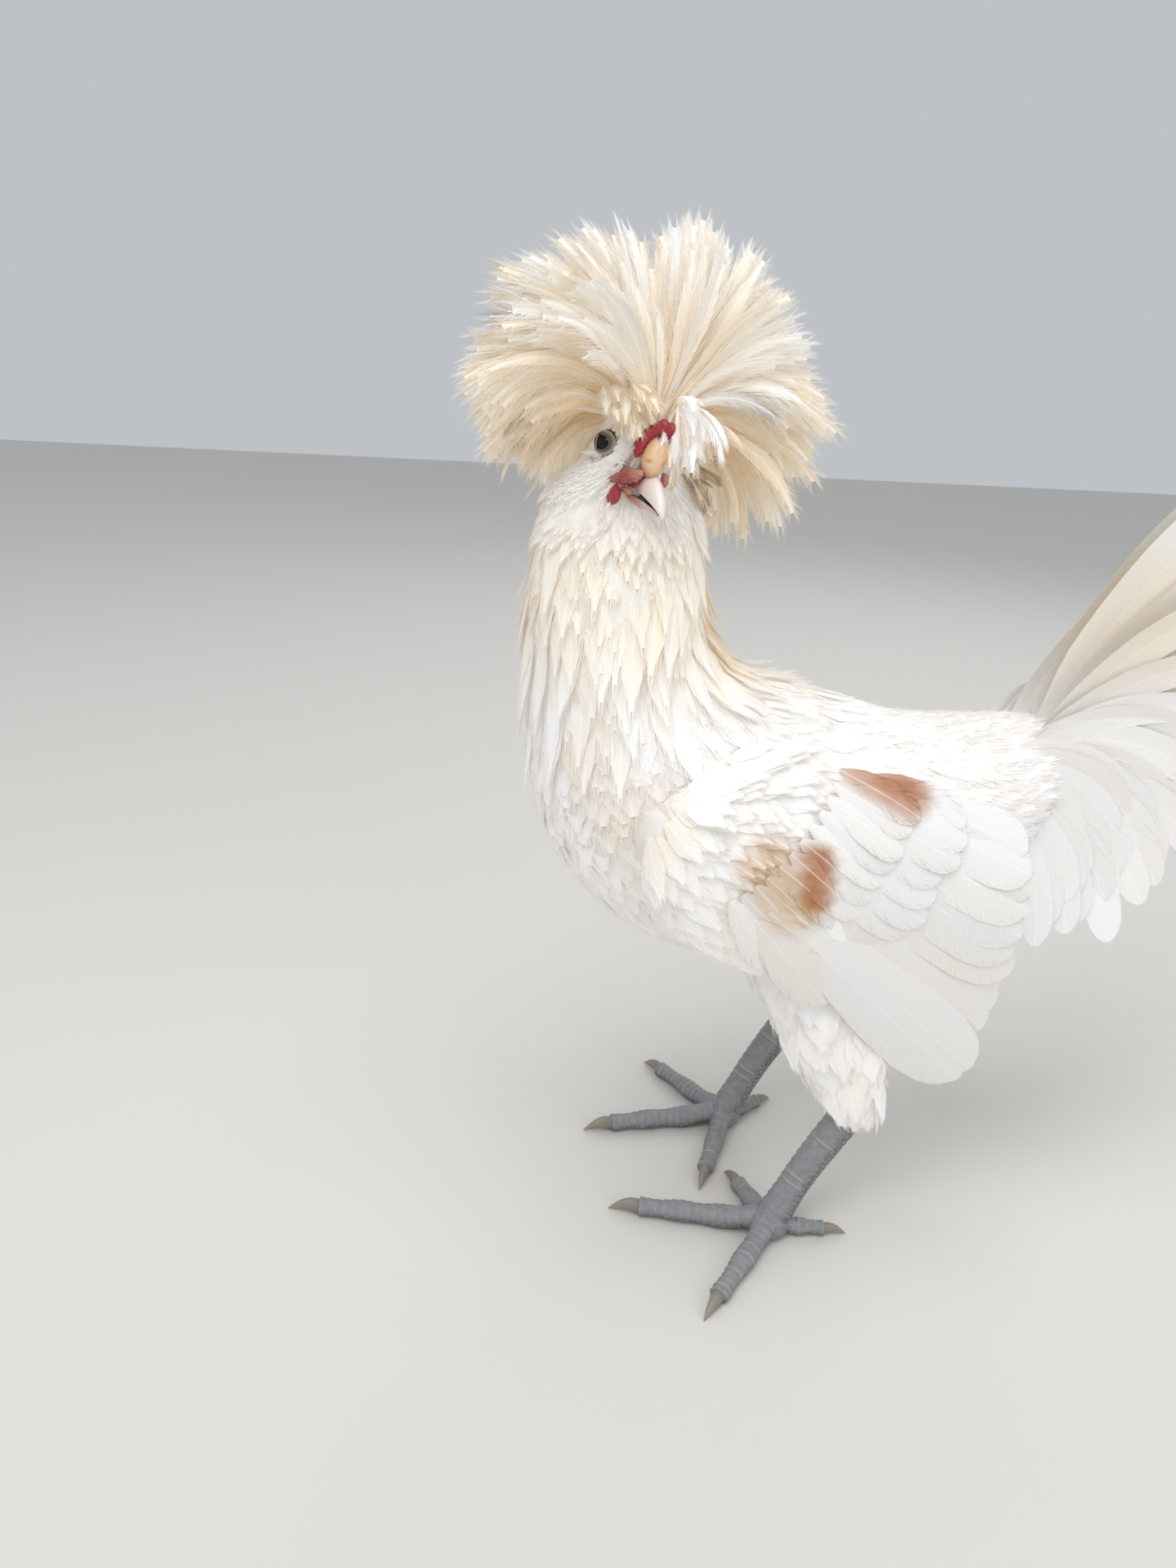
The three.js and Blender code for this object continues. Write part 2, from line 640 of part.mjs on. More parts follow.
// Each leg: the middle of its foot, the end of its feathered thigh, and each toe's length and way,
// in degrees to the bird's left of straight ahead.
const LEGS = {
  left: {
    side: 1,
    foot: [52, -9],
    cuff: [47, 27, 61],
    toes: { middle: [58, -21], outer: [50, 44], inner: [27, -82], hind: [22, 168] },
  },
  right: {
    side: -1,
    foot: [-31, -2],
    cuff: [-40, 36, 61],
    toes: { middle: [58, -3], outer: [48, -66], inner: [42, 59], hind: [22, 205] },
  },
};
const TOE = { wide: { middle: 5.4, outer: 4.9, inner: 4.8, hind: 4.2 }, claw: 13 };
const SCUTES = { middle: 9, outer: 8, inner: 6, hind: 4, shank: 9 };
const SHANK = { top: [6.6, 8.6], low: [6.2, 7.4], foot: [7.6, 8] };
const ANKLE_HEIGHT = 13;

// A scaled limb: rings that step up to the far edge of each scute on its upper side.
function scaledLimb({ path, sizes, scutes, upward, sides = 7, step = 0.55, floor = -Infinity }) {
  const rings = [];
  const spine = new THREE.CatmullRomCurve3(path);
  for (let i = 0; i < scutes; i++)
    for (const [inside, raised] of [[0.04, 0], [0.96, 1]]) {
      const share = (i + inside) / scutes;
      const middle = spine.getPoint(share);
      const way = spine.getTangent(share);
      const side = way.clone().cross(upward).normalize();
      const top = side.clone().cross(way).normalize();
      const size = sizes(share);
      const ring = [];
      for (let j = 0; j < sides; j++) {
        const angle = (2 * Math.PI * (j + 0.5)) / sides;
        const plate = raised && Math.sin(angle) > 0 ? step : 0;
        const point = middle
          .clone()
          .addScaledVector(side, (size[0] + plate) * Math.cos(angle))
          .addScaledVector(top, (size[1] + plate) * Math.sin(angle));
        point.z = Math.max(point.z, floor);
        ring.push(point);
      }
      rings.push(ring);
    }
  return ringSolid(rings);
}

const ankle = (leg) => v3(leg.foot[0], leg.foot[1], ANKLE_HEIGHT);

function shankShape(leg, grow = 0) {
  const top = v3(...leg.cuff);
  const low = ankle(leg);
  const sizes = (share) => {
    const upper = [SHANK.top, SHANK.low, share / 0.75];
    const part = share < 0.75 ? upper : [SHANK.low, SHANK.foot, (share - 0.75) / 0.25];
    return [0, 1].map((axis) => lerp(part[0][axis], part[1][axis], part[2]) + grow);
  };
  const ahead = v3(0, -1, 0);
  const lower = low.clone().add(v3(0, 1, -4));
  const path = [top, low.clone().lerp(top, 0.45), lower];
  return scaledLimb({ path, sizes, scutes: SCUTES.shank, upward: ahead });
}

// The pad that the toes grow from, flat on the floor.
function footPad(leg, grow = 0) {
  const radii = [9.2 + grow, 10 + grow, 8.6 + grow];
  const pad = ellipsoid(v3(leg.foot[0], leg.foot[1] - 1, 6.5), radii, WORLD, 10);
  const slab = new THREE.BoxGeometry(60, 60, 60).translate(leg.foot[0], leg.foot[1], 30 - grow);
  return pad.intersect(solidOf(slab));
}

function shank(leg) {
  const spur = ellipsoid(
    ankle(leg).lerp(v3(...leg.cuff), 0.36).add(v3(-leg.side * 6, 5, 0)),
    [3, 2.6, 2.6],
    WORLD,
    8,
  );
  return fuse([shankShape(leg), footPad(leg), spur]);
}

function toeFrame(leg, name) {
  const [length, way] = leg.toes[name];
  const angle = rad(way);
  const ahead = v3(Math.sin(angle), -Math.cos(angle), 0);
  const start = v3(leg.foot[0], leg.foot[1], 0).addScaledVector(ahead, 4);
  return { length, ahead, start, half: TOE.wide[name] };
}

function toeShape(leg, name, grow = 0) {
  const { length, ahead, start, half } = toeFrame(leg, name);
  const rise = name === "hind" ? 9 : 8;
  const at = (share, z) => start.clone().addScaledVector(ahead, length * share).setZ(z);
  const path = [at(0, rise), at(0.3, half * 0.98), at(0.65, half * 0.9), at(1, half * 0.72)];
  const sizes = (share) => {
    const knuckle = 0.35 * Math.cos(share * Math.PI * 2 * (name === "middle" ? 3 : 2));
    const size = half * lerp(1.08, 0.78, share) + knuckle + grow;
    return [size, size * 0.92];
  };
  return scaledLimb({ path, sizes, scutes: SCUTES[name], upward: v3(0, 0, 1), floor: -grow });
}

function toe(leg, name) {
  const room = [shankShape(leg, GAP), footPad(leg, GAP)];
  if (name !== "middle") room.push(toeShape(leg, "middle", GAP));
  return cutFrom(toeShape(leg, name), ...room);
}

// A claw: a curved cone that leaves the toe's end and touches the floor with its point.
function claw(leg, name) {
  const { length, ahead, start, half } = toeFrame(leg, name);
  const long = TOE.claw * (name === "middle" ? 1.1 : name === "hind" ? 0.85 : 1);
  const side = ahead.clone().cross(WORLD[2]);
  const sections = [[0, 0.66, 0.62], [0.35, 0.52, 0.66], [0.7, 0.3, 0.48], [1, 0.05, 0.1]];
  const rings = sections.map(([share, wide, tall]) => {
    const middle = start
      .clone()
      .addScaledVector(ahead, length + GAP + share * long)
      .setZ(half * (0.72 + 0.22 * Math.sin(Math.PI * share) - 0.62 * share ** 2));
    const ring = [];
    for (let j = 0; j < 7; j++) {
      const angle = (2 * Math.PI * j) / 7;
      const point = middle
        .clone()
        .addScaledVector(side, half * wide * Math.cos(angle))
        .addScaledVector(WORLD[2], half * tall * Math.sin(angle));
      point.z = Math.max(point.z, 0);
      ring.push(point);
    }
    return ring;
  });
  return ringSolid(rings);
}

// A feathered thigh: an egg-shaped sleeve from the belly down to the bare shank.
const THIGH = [
  { ahead: 2, out: 36, z: 168, half: 24, deep: 36 },
  { ahead: 4, out: 41, z: 140, half: 22, deep: 33 },
  { ahead: 10, out: 45, z: 112, half: 18.5, deep: 26 },
  { ahead: 18, out: 47, z: 88, half: 15.5, deep: 20 },
  { ahead: 25, out: 47, z: 70, half: 12, deep: 14 },
];

function thigh(leg) {
  const end = v3(...leg.cuff);
  const way = end.clone().sub(ankle(leg)).normalize();
  const rings = THIGH.map(({ ahead, out, z, half, deep }, i) => {
    const share = i / THIGH.length;
    const shift = v3(end.x - leg.side * 47, end.y - 27, 0).multiplyScalar(share);
    return oval(v3(leg.side * out, ahead, z).add(shift), half, deep, v3(0, 1, 0));
  });
  const back = v3(0, 1, 0).addScaledVector(way, -way.y).normalize();
  rings.push(oval(end.clone().addScaledVector(way, GAP), 10.2, 11.2, back, way));
  return cutFrom(ringSolid(rings), torsoRoom, wingCore(leg.side, GAP));
}

function oval(middle, half, deep, back, axis = WORLD[2], sides = 14) {
  const side = back.clone().cross(axis).normalize();
  const ring = [];
  for (let j = 0; j < sides; j++) {
    const angle = (2 * Math.PI * j) / sides;
    const point = middle.clone().addScaledVector(side, half * Math.cos(angle));
    ring.push(point.addScaledVector(back, deep * Math.sin(angle)));
  }
  return ring;
}

// The scene graph.

const finish = (color, roughness) => new THREE.MeshStandardMaterial({ color, roughness, metalness: 0 });
const FINISH = {
  plumage: finish("#f1ede6", 0.75),
  crest: finish("#efe4cd", 0.75),
  skin: finish("#b23a3c", 0.55),
  horn: finish("#e6d5c4", 0.4),
  claw: finish("#c9ab8a", 0.4),
  scale: finish("#7e8791", 0.5),
  eye: finish("#1a1310", 0.1),
};

const bird = new THREE.Group();

function add(name, solid, material) {
  const made = solid.getMesh();
  const stride = made.numProp;
  const points = new Float32Array(made.numVert * 3);
  for (let i = 0; i < made.numVert; i++)
    points.set(made.vertProperties.subarray(i * stride, i * stride + 3), i * 3);
  const geometry = new THREE.BufferGeometry();
  geometry.setAttribute("position", new THREE.BufferAttribute(points, 3));
  geometry.setIndex(new THREE.BufferAttribute(new Uint32Array(made.triVerts), 1));
  geometry.computeVertexNormals();
  const mesh = new THREE.Mesh(geometry, material);
  mesh.name = name;
  bird.add(mesh);
}

add("torso", torso(), FINISH.plumage);
add("neck", neckBody(0), FINISH.plumage);
add("head", headNode(), FINISH.plumage);
add("tail", tail(), FINISH.plumage);
add("beak_upper", upperBeak(), FINISH.horn);
add("beak_lower", lowerBeak(), FINISH.horn);
add("comb", comb(), FINISH.skin);
add("crest", crest(), FINISH.crest);
for (const [word, side] of [["left", 1], ["right", -1]]) {
  add(`eye_${word}`, eyeBall(side), FINISH.eye);
  add(`wattle_${word}`, wattle(side), FINISH.skin);
  add(`wing_${word}`, wing(side), FINISH.plumage);
  const leg = LEGS[word];
  add(`thigh_${word}`, thigh(leg), FINISH.plumage);
  const shankSolid = shank(leg);
  add(`shank_${word}`, shankSolid, FINISH.scale);
  for (const name of Object.keys(leg.toes)) {
    add(`toe_${name}_${word}`, toe(leg, name), FINISH.scale);
    add(`claw_${name}_${word}`, claw(leg, name), FINISH.claw);
  }
}

// The origin is the middle of the box round the whole bird, on the floor.
const extent = new THREE.Box3().setFromObject(bird, true);
const centre = extent.getCenter(v3());
bird.position.set(-centre.x, -centre.y, -extent.min.z);

export default bird;
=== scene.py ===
"""A crested cockerel at life size: skin, coat, flight feathers, crest, face and feet.

Shapes are worked out in the millimetres of the solids before they are centred, with the feet's
middle near the origin, and are moved by SHIFT and turned to metres when a mesh is made.
"""

import bpy
import numpy as np
from mathutils import Matrix, Vector


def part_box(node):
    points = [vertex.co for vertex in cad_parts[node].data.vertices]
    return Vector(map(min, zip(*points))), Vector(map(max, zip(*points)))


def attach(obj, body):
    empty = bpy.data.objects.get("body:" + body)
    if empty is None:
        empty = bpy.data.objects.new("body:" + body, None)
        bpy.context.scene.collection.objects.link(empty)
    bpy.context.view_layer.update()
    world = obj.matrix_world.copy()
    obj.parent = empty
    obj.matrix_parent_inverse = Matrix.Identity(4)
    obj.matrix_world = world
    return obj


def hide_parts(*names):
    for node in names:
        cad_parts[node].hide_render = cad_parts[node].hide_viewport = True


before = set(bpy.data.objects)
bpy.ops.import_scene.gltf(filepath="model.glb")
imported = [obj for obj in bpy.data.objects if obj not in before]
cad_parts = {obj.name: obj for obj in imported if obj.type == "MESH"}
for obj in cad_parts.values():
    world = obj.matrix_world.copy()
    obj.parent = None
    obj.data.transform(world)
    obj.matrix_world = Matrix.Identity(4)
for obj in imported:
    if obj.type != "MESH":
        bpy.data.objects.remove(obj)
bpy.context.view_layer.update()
rng = np.random.default_rng(11)

# ---------------------------------------------------------------- named sizes, as in the solids

MM = 0.001
FULL_TURN = 2 * np.pi
SIDES = {"left": 1, "right": -1}
REAR = np.array([0, 1.0, 0])
UP = np.array([0, 0, 1.0])

# y, z, x, pitch, turn, half width, back radius, front radius
SECTIONS = np.array([
    [134, 228, 0, -28, 0, 9, 8, 10],
    [118, 221, 0, -24, 0, 26, 20, 26],
    [92, 206, 0, -12, 0, 42, 34, 46],
    [48, 192, 0, -3, 0, 58, 50, 60],
    [0, 190, 0, 4, 0, 65, 65, 66],
    [-45, 200, 0, 20, 0, 65, 65, 68],
    [-75, 222, 0, 48, 0, 59, 61, 58],
    [-89, 252, 0, 75, 15, 47, 51, 40],
    [-93, 285, 0, 88, 45, 40, 42, 38],
    [-93, 309, 0, 90, 75, 37, 35, 29],
    [-91, 324, 0, 90, 88, 34, 31, 18],
    [-90, 335, 0, 90, 88, 30, 29, 11.5],
    [-89, 343, 0, 90, 88, 21, 27, 15.5],
    [-89, 351, 0, 90, 88, 15, 25, 19.5],
    [-88, 360, 0, 90, 88, 13, 20, 16],
    [-87, 370, 0, 90, 88, 5, 8, 7],
], float)
HEAD_MIDDLE = np.array([0, -90.5, 350.0])
HEAD_TURN, HEAD_LEAN = 7, 7
EYE = dict(ahead=7, out=12.6, up=0, radius=5.2)
KNOB = dict(ahead=24.6, left=-0.6, up=-1.6, radii=(5.2, 4.6, 8.0))
COMB = dict(ahead=22.6, left=0.6, up=1.0, arch=7.1, thick=2.55)
COMB_HORN = dict(root=(20.5, 3.0, 4.2), tip=(18.9, 5.6, 9.2), radius=2.2)
# ahead, up, half width, depth
UPPER_BEAK = np.array([
    [14, -14, 4.6, 6.2], [19, -14.2, 4.4, 7.4], [24, -14.8, 4.2, 8], [29, -16, 3.9, 7.2],
    [33.5, -17.4, 3.4, 5.7], [38, -19.4, 2.3, 3.9], [40.3, -21.3, 1.1, 2], [41, -22.6, 0.4, 0.7],
], float)
LOWER_BEAK = np.array([
    [12, -16, 4.2, 3.4], [17, -16.8, 4.0, 3.6], [22, -17.3, 3.6, 3.5], [28, -18.1, 2.9, 3],
    [33, -19.3, 2.0, 2.3], [36.8, -20.9, 0.8, 0.9],
], float)
SKULL = dict(middle=(1, 2, 11), radii=(16, 15, 12))
# front and rear as sections, middle and spread in degrees round the trunk; the least that its ends round to
WING = dict(front=6.15, rear=2.75, middle=92, spread=46, thick=13, flare=0.85, least=0.06)
LEGS = {
    "left": dict(side=1, foot=(52, -9), cuff=(47, 27, 61),
                 toes=dict(middle=(58, -21), outer=(50, 44), inner=(27, -82), hind=(22, 168))),
    "right": dict(side=-1, foot=(-31, -2), cuff=(-40, 36, 61),
                  toes=dict(middle=(58, -3), outer=(48, -66), inner=(42, 59), hind=(22, 205))),
}
# ahead, out, z, half width, half depth, down to a cuff at THIGH_CUFF
THIGH = np.array([[2, 36, 168, 24, 36], [4, 41, 140, 22, 33], [10, 45, 112, 18.5, 26],
                  [18, 47, 88, 15.5, 20], [25, 47, 70, 12, 14]], float)
THIGH_CUFF = (47, 27)
ANKLE_HEIGHT = 13
TOE_HALF = dict(middle=5.4, outer=4.9, inner=4.8, hind=4.2)
TOE_SCUTES = dict(middle=15, outer=14, inner=9, hind=6)
CLAW_LENGTH = dict(middle=14.3, outer=13, inner=13, hind=11.05)


def unit(v):
    """v over its own length."""
    return v / np.maximum(np.linalg.norm(v, axis=-1, keepdims=True), 1e-9)


def blend(ends, share):
    """From the first of two ends to the second."""
    return ends[0] + (ends[1] - ends[0]) * share


def blur(value, low, high):
    """0 below low, 1 above high, smooth between."""
    x = np.clip((value - low) / (high - low), 0, 1)
    return x * x * (3 - 2 * x)


def ring_angles(sides):
    """Even angles round a full turn."""
    return np.linspace(0, FULL_TURN, sides, endpoint=False)


def head_frame():
    """The head's own ahead, left and up: turned in the level, then leant to its left."""
    turn, lean = np.radians([HEAD_TURN, HEAD_LEAN])
    ahead = np.array([np.cos(turn), np.sin(turn), 0])
    level = np.array([-np.sin(turn), np.cos(turn), 0])
    cos, sin = np.cos(lean), np.sin(lean)
    return np.array([ahead, level * cos - UP * sin, UP * cos + level * sin])


FACE = head_frame()


def on_head(ahead, left, up):
    """A place in the head's own frame."""
    local = np.stack(np.broadcast_arrays(ahead, left, up), -1).astype(float)
    return HEAD_MIDDLE + local @ FACE


def eye_middle(side):
    """The middle of an eye: side is 1 on the left and -1 on the right."""
    return on_head(EYE["ahead"], side * EYE["out"], EYE["up"])


def find_shift():
    """How far the solids were moved to centre their box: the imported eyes' middle less the worked-out one."""
    packed = sum(np.add(*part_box(f"eye_{word}")) for word in SIDES) / 4 / MM
    return packed - (eye_middle(1) + eye_middle(-1)) / 2


SHIFT = find_shift()

# ---------------------------------------------------------------- the trunk's surface


def smooth_rows(table, at):
    """A table's fields at fractional rows, by a curve that runs smoothly through the rows (Catmull-Rom)."""
    at = np.asarray(at, float)
    last = len(table) - 1
    i = np.clip(np.floor(at), 0, last - 1).astype(int)
    f = (at - i)[..., None]
    a, b, c, d = (table[np.clip(i + n, 0, last)] for n in (-1, 0, 1, 2))
    return 0.5 * (2 * b + (c - a) * f + (2 * a - 5 * b + 4 * c - d) * f**2 + (3 * b - a - 3 * c + d) * f**3)


def section(k):
    """Section k's middle, the way down across it, its turn, half width, back radius and front radius."""
    y, z, x, pitch, turn, half, back, front = np.moveaxis(smooth_rows(SECTIONS, k), -1, 0)
    pitch, turn = np.radians(pitch), np.radians(turn)
    down = np.stack([np.zeros_like(pitch), -np.sin(pitch), -np.cos(pitch)], -1)
    return np.stack([x, y, z], -1), down, turn, half, back, front


def trunk(k, v, lift=0.0):
    """A point of the trunk: section k, angle v from the breast side to the left, raised by lift."""
    k, v = np.broadcast_arrays(np.asarray(k, float), np.asarray(v, float))
    middle, down, turn, half, back, front = section(k)
    left = np.array([1.0, 0, 0])
    cos, sin = np.cos(turn)[..., None], np.sin(turn)[..., None]
    forward, sideways = down * cos + left * sin, left * cos - down * sin
    own = v - turn
    reach = np.where(np.cos(own) > 0, front, back) + lift
    point = middle + forward * (reach * np.cos(own))[..., None]
    return point + sideways * ((half + lift) * np.sin(own))[..., None]


def trunk_frame(k, v, lift=0.0):
    """Point, outward normal and the way to the tail, from small steps along k and v."""
    step = 0.02
    point = trunk(k, v, lift)
    tailward = unit(trunk(k - step, v, lift) - trunk(k + step, v, lift))
    around = unit(trunk(k, v + step, lift) - trunk(k, v - step, lift))
    return point, unit(np.cross(around, tailward)), tailward


def wing_point(side, k, degrees, lift):
    """A point on the folded wing's sheet: the trunk's side, that hangs straight below its middle."""
    k, degrees, lift = np.broadcast_arrays(*(np.asarray(n, float) for n in (k, degrees, lift)))
    middle, down, _, half, back, front = section(k)
    v = np.radians(degrees)
    out = np.where(degrees < 90, np.sin(v) + (1 - np.sin(v)) * WING["flare"], np.sin(v))
    reach = np.where(np.cos(v) > 0, front, back + lift)
    point = middle + down * (reach * np.cos(v))[..., None]
    return (point + np.array([1.0, 0, 0]) * ((half + lift) * out)[..., None]) * np.array([side, 1, 1])


def wing_place(along, b):
    """Section and degrees of a place on the wing core, and how far the core's outline is rounded in there:
    along runs from the bend to the rear, b from the lower to the upper edge."""
    rounding = np.sqrt(np.maximum(WING["least"], 1 - (2 * along - 1) ** 4))
    degrees = WING["middle"] + WING["spread"] * rounding * b * (0.8 + 0.2 * along)
    return blend((WING["front"], WING["rear"]), along), degrees, rounding


def wing_shell(side, along, b, shrink=0.0):
    """The wing core's outer face."""
    k, degrees, rounding = wing_place(along, b)
    swell = np.sqrt(np.maximum(0.02, 1 - b * b)) * rounding
    return wing_point(side, k, degrees, 1 + WING["thick"] * swell - shrink)


def leg_points(leg):
    """The bare leg's top, and the ankle."""
    return np.array(leg["cuff"], float), np.array([*leg["foot"], ANKLE_HEIGHT], float)


def thigh_surface(leg, share, angle, lift=0.0):
    """A point of the feathered thigh: share 0 at the belly to 1 at the cuff, angle round it from outside."""
    at = np.asarray(share, float) * (len(THIGH) - 1)
    ahead, out, z, half, deep = (np.interp(at, np.arange(len(THIGH)), field) for field in THIGH.T)
    x = leg["side"] * out + (leg["cuff"][0] - leg["side"] * THIGH_CUFF[0]) * at / len(THIGH)
    y = ahead + (leg["cuff"][1] - THIGH_CUFF[1]) * at / len(THIGH)
    side = leg["side"] * (half + lift) * np.cos(angle)
    return np.stack([x + side, y + (deep + lift) * np.sin(angle), z + 0 * side], -1)


# ---------------------------------------------------------------- meshes


def make_mesh(name, points, faces, material, uvs=None, marks=None, sharp=None):
    """One piece from points in millimetres and faces as index rows; -1 pads a triangle in a row of four."""
    mesh = bpy.data.meshes.new(name)
    points = (np.asarray(points, float).reshape(-1, 3) + SHIFT) * MM
    corners = faces[faces >= 0]
    starts = np.concatenate([[0], np.cumsum((faces >= 0).sum(1))[:-1]])
    mesh.vertices.add(len(points))
    mesh.vertices.foreach_set("co", points.ravel())
    mesh.loops.add(len(corners))
    mesh.loops.foreach_set("vertex_index", corners.astype(np.int32))
    mesh.polygons.add(len(faces))
    mesh.polygons.foreach_set("loop_start", starts.astype(np.int32))
    mesh.update(calc_edges=True)
    mesh.polygons.foreach_set("use_smooth", np.ones(len(faces), bool))
    for uv_name, values in (uvs or {}).items():
        layer = mesh.uv_layers.new(name=uv_name)
        layer.data.foreach_set("uv", values.reshape(-1, 2)[corners].astype(np.float32).ravel())
    if marks is not None:
        layer = mesh.attributes.new("marks", "FLOAT_COLOR", "POINT")
        layer.data.foreach_set("color", marks.reshape(-1, 4).astype(np.float32).ravel())
    if sharp is not None:
        mesh.set_sharp_from_angle(angle=np.radians(sharp))
    mesh.validate()
    mesh.materials.append(material)
    obj = bpy.data.objects.new(name, mesh)
    bpy.context.scene.collection.objects.link(obj)
    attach(obj, "root")
    return obj


def columns(*values):
    """Marks from up to four columns of numbers, with zeros in the rest."""
    values = np.broadcast_arrays(*values)
    return np.stack([*values, *[np.zeros(values[0].shape)] * (4 - len(values))], -1)


def ring_quads(rows, sides, wrap=False):
    """Quads between closed rings, and with wrap also from the last ring to the first."""
    i, j = np.meshgrid(np.arange(rows if wrap else rows - 1), np.arange(sides), indexing="ij")
    here, there, step = i * sides, (i + 1) % rows * sides, (j + 1) % sides
    return np.stack([here + j, here + step, there + step, there + j], -1).reshape(-1, 4)


def flipped(faces):
    """The same faces, turned over."""
    return np.where(faces[:, 3:] >= 0, faces[:, ::-1], np.concatenate([faces[:, 2::-1], faces[:, 3:]], 1))


def outward(points, faces):
    """The faces, turned over where the closed surface has a negative volume."""
    a, b, c, d = faces.T
    four = d >= 0
    corners = (a, b, c), (a[four], c[four], d[four])
    volume = sum((points[p] * np.cross(points[q], points[r])).sum() for p, q, r in corners)
    return faces if volume > 0 else flipped(faces)


def loft(rings):
    """(points, faces) of a closed skin over rings (rows, sides, 3), with its ends fanned to their middles."""
    rings = np.asarray(rings, float)
    rows, sides, _ = rings.shape
    points = np.concatenate([rings.reshape(-1, 3), [rings[0].mean(0)], [rings[-1].mean(0)]])
    j, top, pad = np.arange(sides), (rows - 1) * sides, np.full(sides, -1)
    start = np.stack([(j + 1) % sides, j, np.full(sides, rows * sides), pad], -1)
    end = np.stack([top + j, top + (j + 1) % sides, np.full(sides, rows * sides + 1), pad], -1)
    return points, outward(points, np.concatenate([ring_quads(rows, sides), start, end]))


def ball(middle=(0, 0, 0), radii=(1, 1, 1), axes=np.eye(3), rows=24, sides=32):
    """An ellipsoid about a middle: rings of latitude, closed at both poles."""
    lat = np.linspace(-np.pi / 2, np.pi / 2, rows + 2)[1:-1, None]
    lon = ring_angles(sides)[None]
    local = np.stack([np.cos(lat) * np.cos(lon), np.cos(lat) * np.sin(lon), np.sin(lat) + 0 * lon], -1)
    points, faces = loft(local * radii)
    points[-2:] = np.array([-UP, UP]) * radii
    points = points @ axes + middle
    return points, outward(points, faces)


def together(*shells):
    """Several (points, faces) as one pair."""
    starts = np.cumsum([0] + [len(points) for points, _ in shells])
    faces = [np.where(rows >= 0, rows + start, -1) for (_, rows), start in zip(shells, starts)]
    return np.concatenate([points for points, _ in shells]), np.concatenate(faces)


def repeated(rows, count, per, first=0):
    """One shape's faces for `count` shapes of `per` points each."""
    shifted = rows[None] + first + np.arange(count)[:, None, None] * per
    return np.where(rows[None] >= 0, shifted, -1).reshape(-1, 4)


# ---------------------------------------------------------------- materials


def linear(hex_colour):
    """An sRGB hex value as linear red, green, blue and 1."""
    c = np.array([int(hex_colour[i : i + 2], 16) for i in (1, 3, 5)]) / 255
    return (*np.where(c <= 0.04045, c / 12.92, ((c + 0.055) / 1.055) ** 2.4), 1)


class Look:
    """A material in the making. Its calls add nodes and give back (node, output), and take that, a number
    or an sRGB hex value. Sockets are given by name, with _ for a space."""

    def __init__(self, name, roughness, **sockets):
        self.material = bpy.data.materials.new(name)
        self.material.use_nodes = True
        self.tree = self.material.node_tree
        self.shader = self.tree.nodes["Principled BSDF"]
        self.fill(self.shader, Roughness=roughness, **sockets)

    def join(self, socket, value):
        """Links a socket to (node, output), or sets its value."""
        if isinstance(value, tuple) and isinstance(value[0], bpy.types.Node):
            self.tree.links.new(value[0].outputs[value[1]], socket)
        else:
            socket.default_value = linear(value) if isinstance(value, str) else value

    def fill(self, made, **sockets):
        """Joins a node's sockets by name."""
        for key, value in sockets.items():
            self.join(made.inputs[key.replace("_", " ")], value)

    def add(self, kind, output=0, settings=None, **sockets):
        """A node of a kind with its settings and sockets."""
        made = self.tree.nodes.new("ShaderNode" + kind)
        for key, value in (settings or {}).items():
            setattr(made, key, value)
        self.fill(made, **sockets)
        return made, output

    def add_numbered(self, kind, numbers, values, output=0, **settings):
        """A node whose sockets go by number, because several share a name."""
        made, _ = self.add(kind, settings=settings)
        for number, value in zip(numbers, values):
            self.join(made.inputs[number], value)
        return made, output

    def math(self, operation, *values):
        """Arithmetic on numbers."""
        return self.add_numbered("Math", range(3), values, operation=operation)

    def mix(self, factor, a, b, blend_type="MIX"):
        """A mix of two colours."""
        return self.add_numbered("Mix", (0, 6, 7), (factor, a, b), 2, data_type="RGBA", blend_type=blend_type)

    def ramp(self, value, *stops):
        """A number mapped to greys by stops of (place, grey)."""
        made, output = self.add_numbered("ValToRGB", (0,), (value,))
        elements = made.color_ramp.elements
        while len(elements) < len(stops):
            elements.new(1)
        for element, (place, grey) in zip(elements, stops):
            element.position, element.color = place, (grey, grey, grey, 1)
        return made, output

    def marks(self):
        """The four numbers that a piece's points carry in `marks`."""
        made, _ = self.add("Attribute", settings={"attribute_name": "marks"})
        split, _ = self.add("SeparateColor", Color=(made, 0))
        return (split, 0), (split, 1), (split, 2), (made, 3)

    def texture(self, kind, scale, settings=None, **sockets):
        """Noise or cells in the piece's own space."""
        return self.add(kind, settings=settings, Vector=self.add("TexCoord", 3), Scale=scale, **sockets)

    def done(self, base, height=None, strength=0.0, distance=0.0):
        """The material with its base colour and, where a height is given, its small relief."""
        self.fill(self.shader, Base_Color=base)
        if height:
            relief = self.add("Bump", Strength=strength, Distance=distance, Height=height)
            self.fill(self.shader, Normal=relief)
        return self.material


WHITE, CREAM, RUST, SLATE = "#f6f5f4", "#ecd3a4", "#a9570f", "#6d6153"
# BARB_SHADE is the colour of painted shade for the barb lines
BARB_SHADE, SHAFT = "#cfc2ab", "#fffdf6"


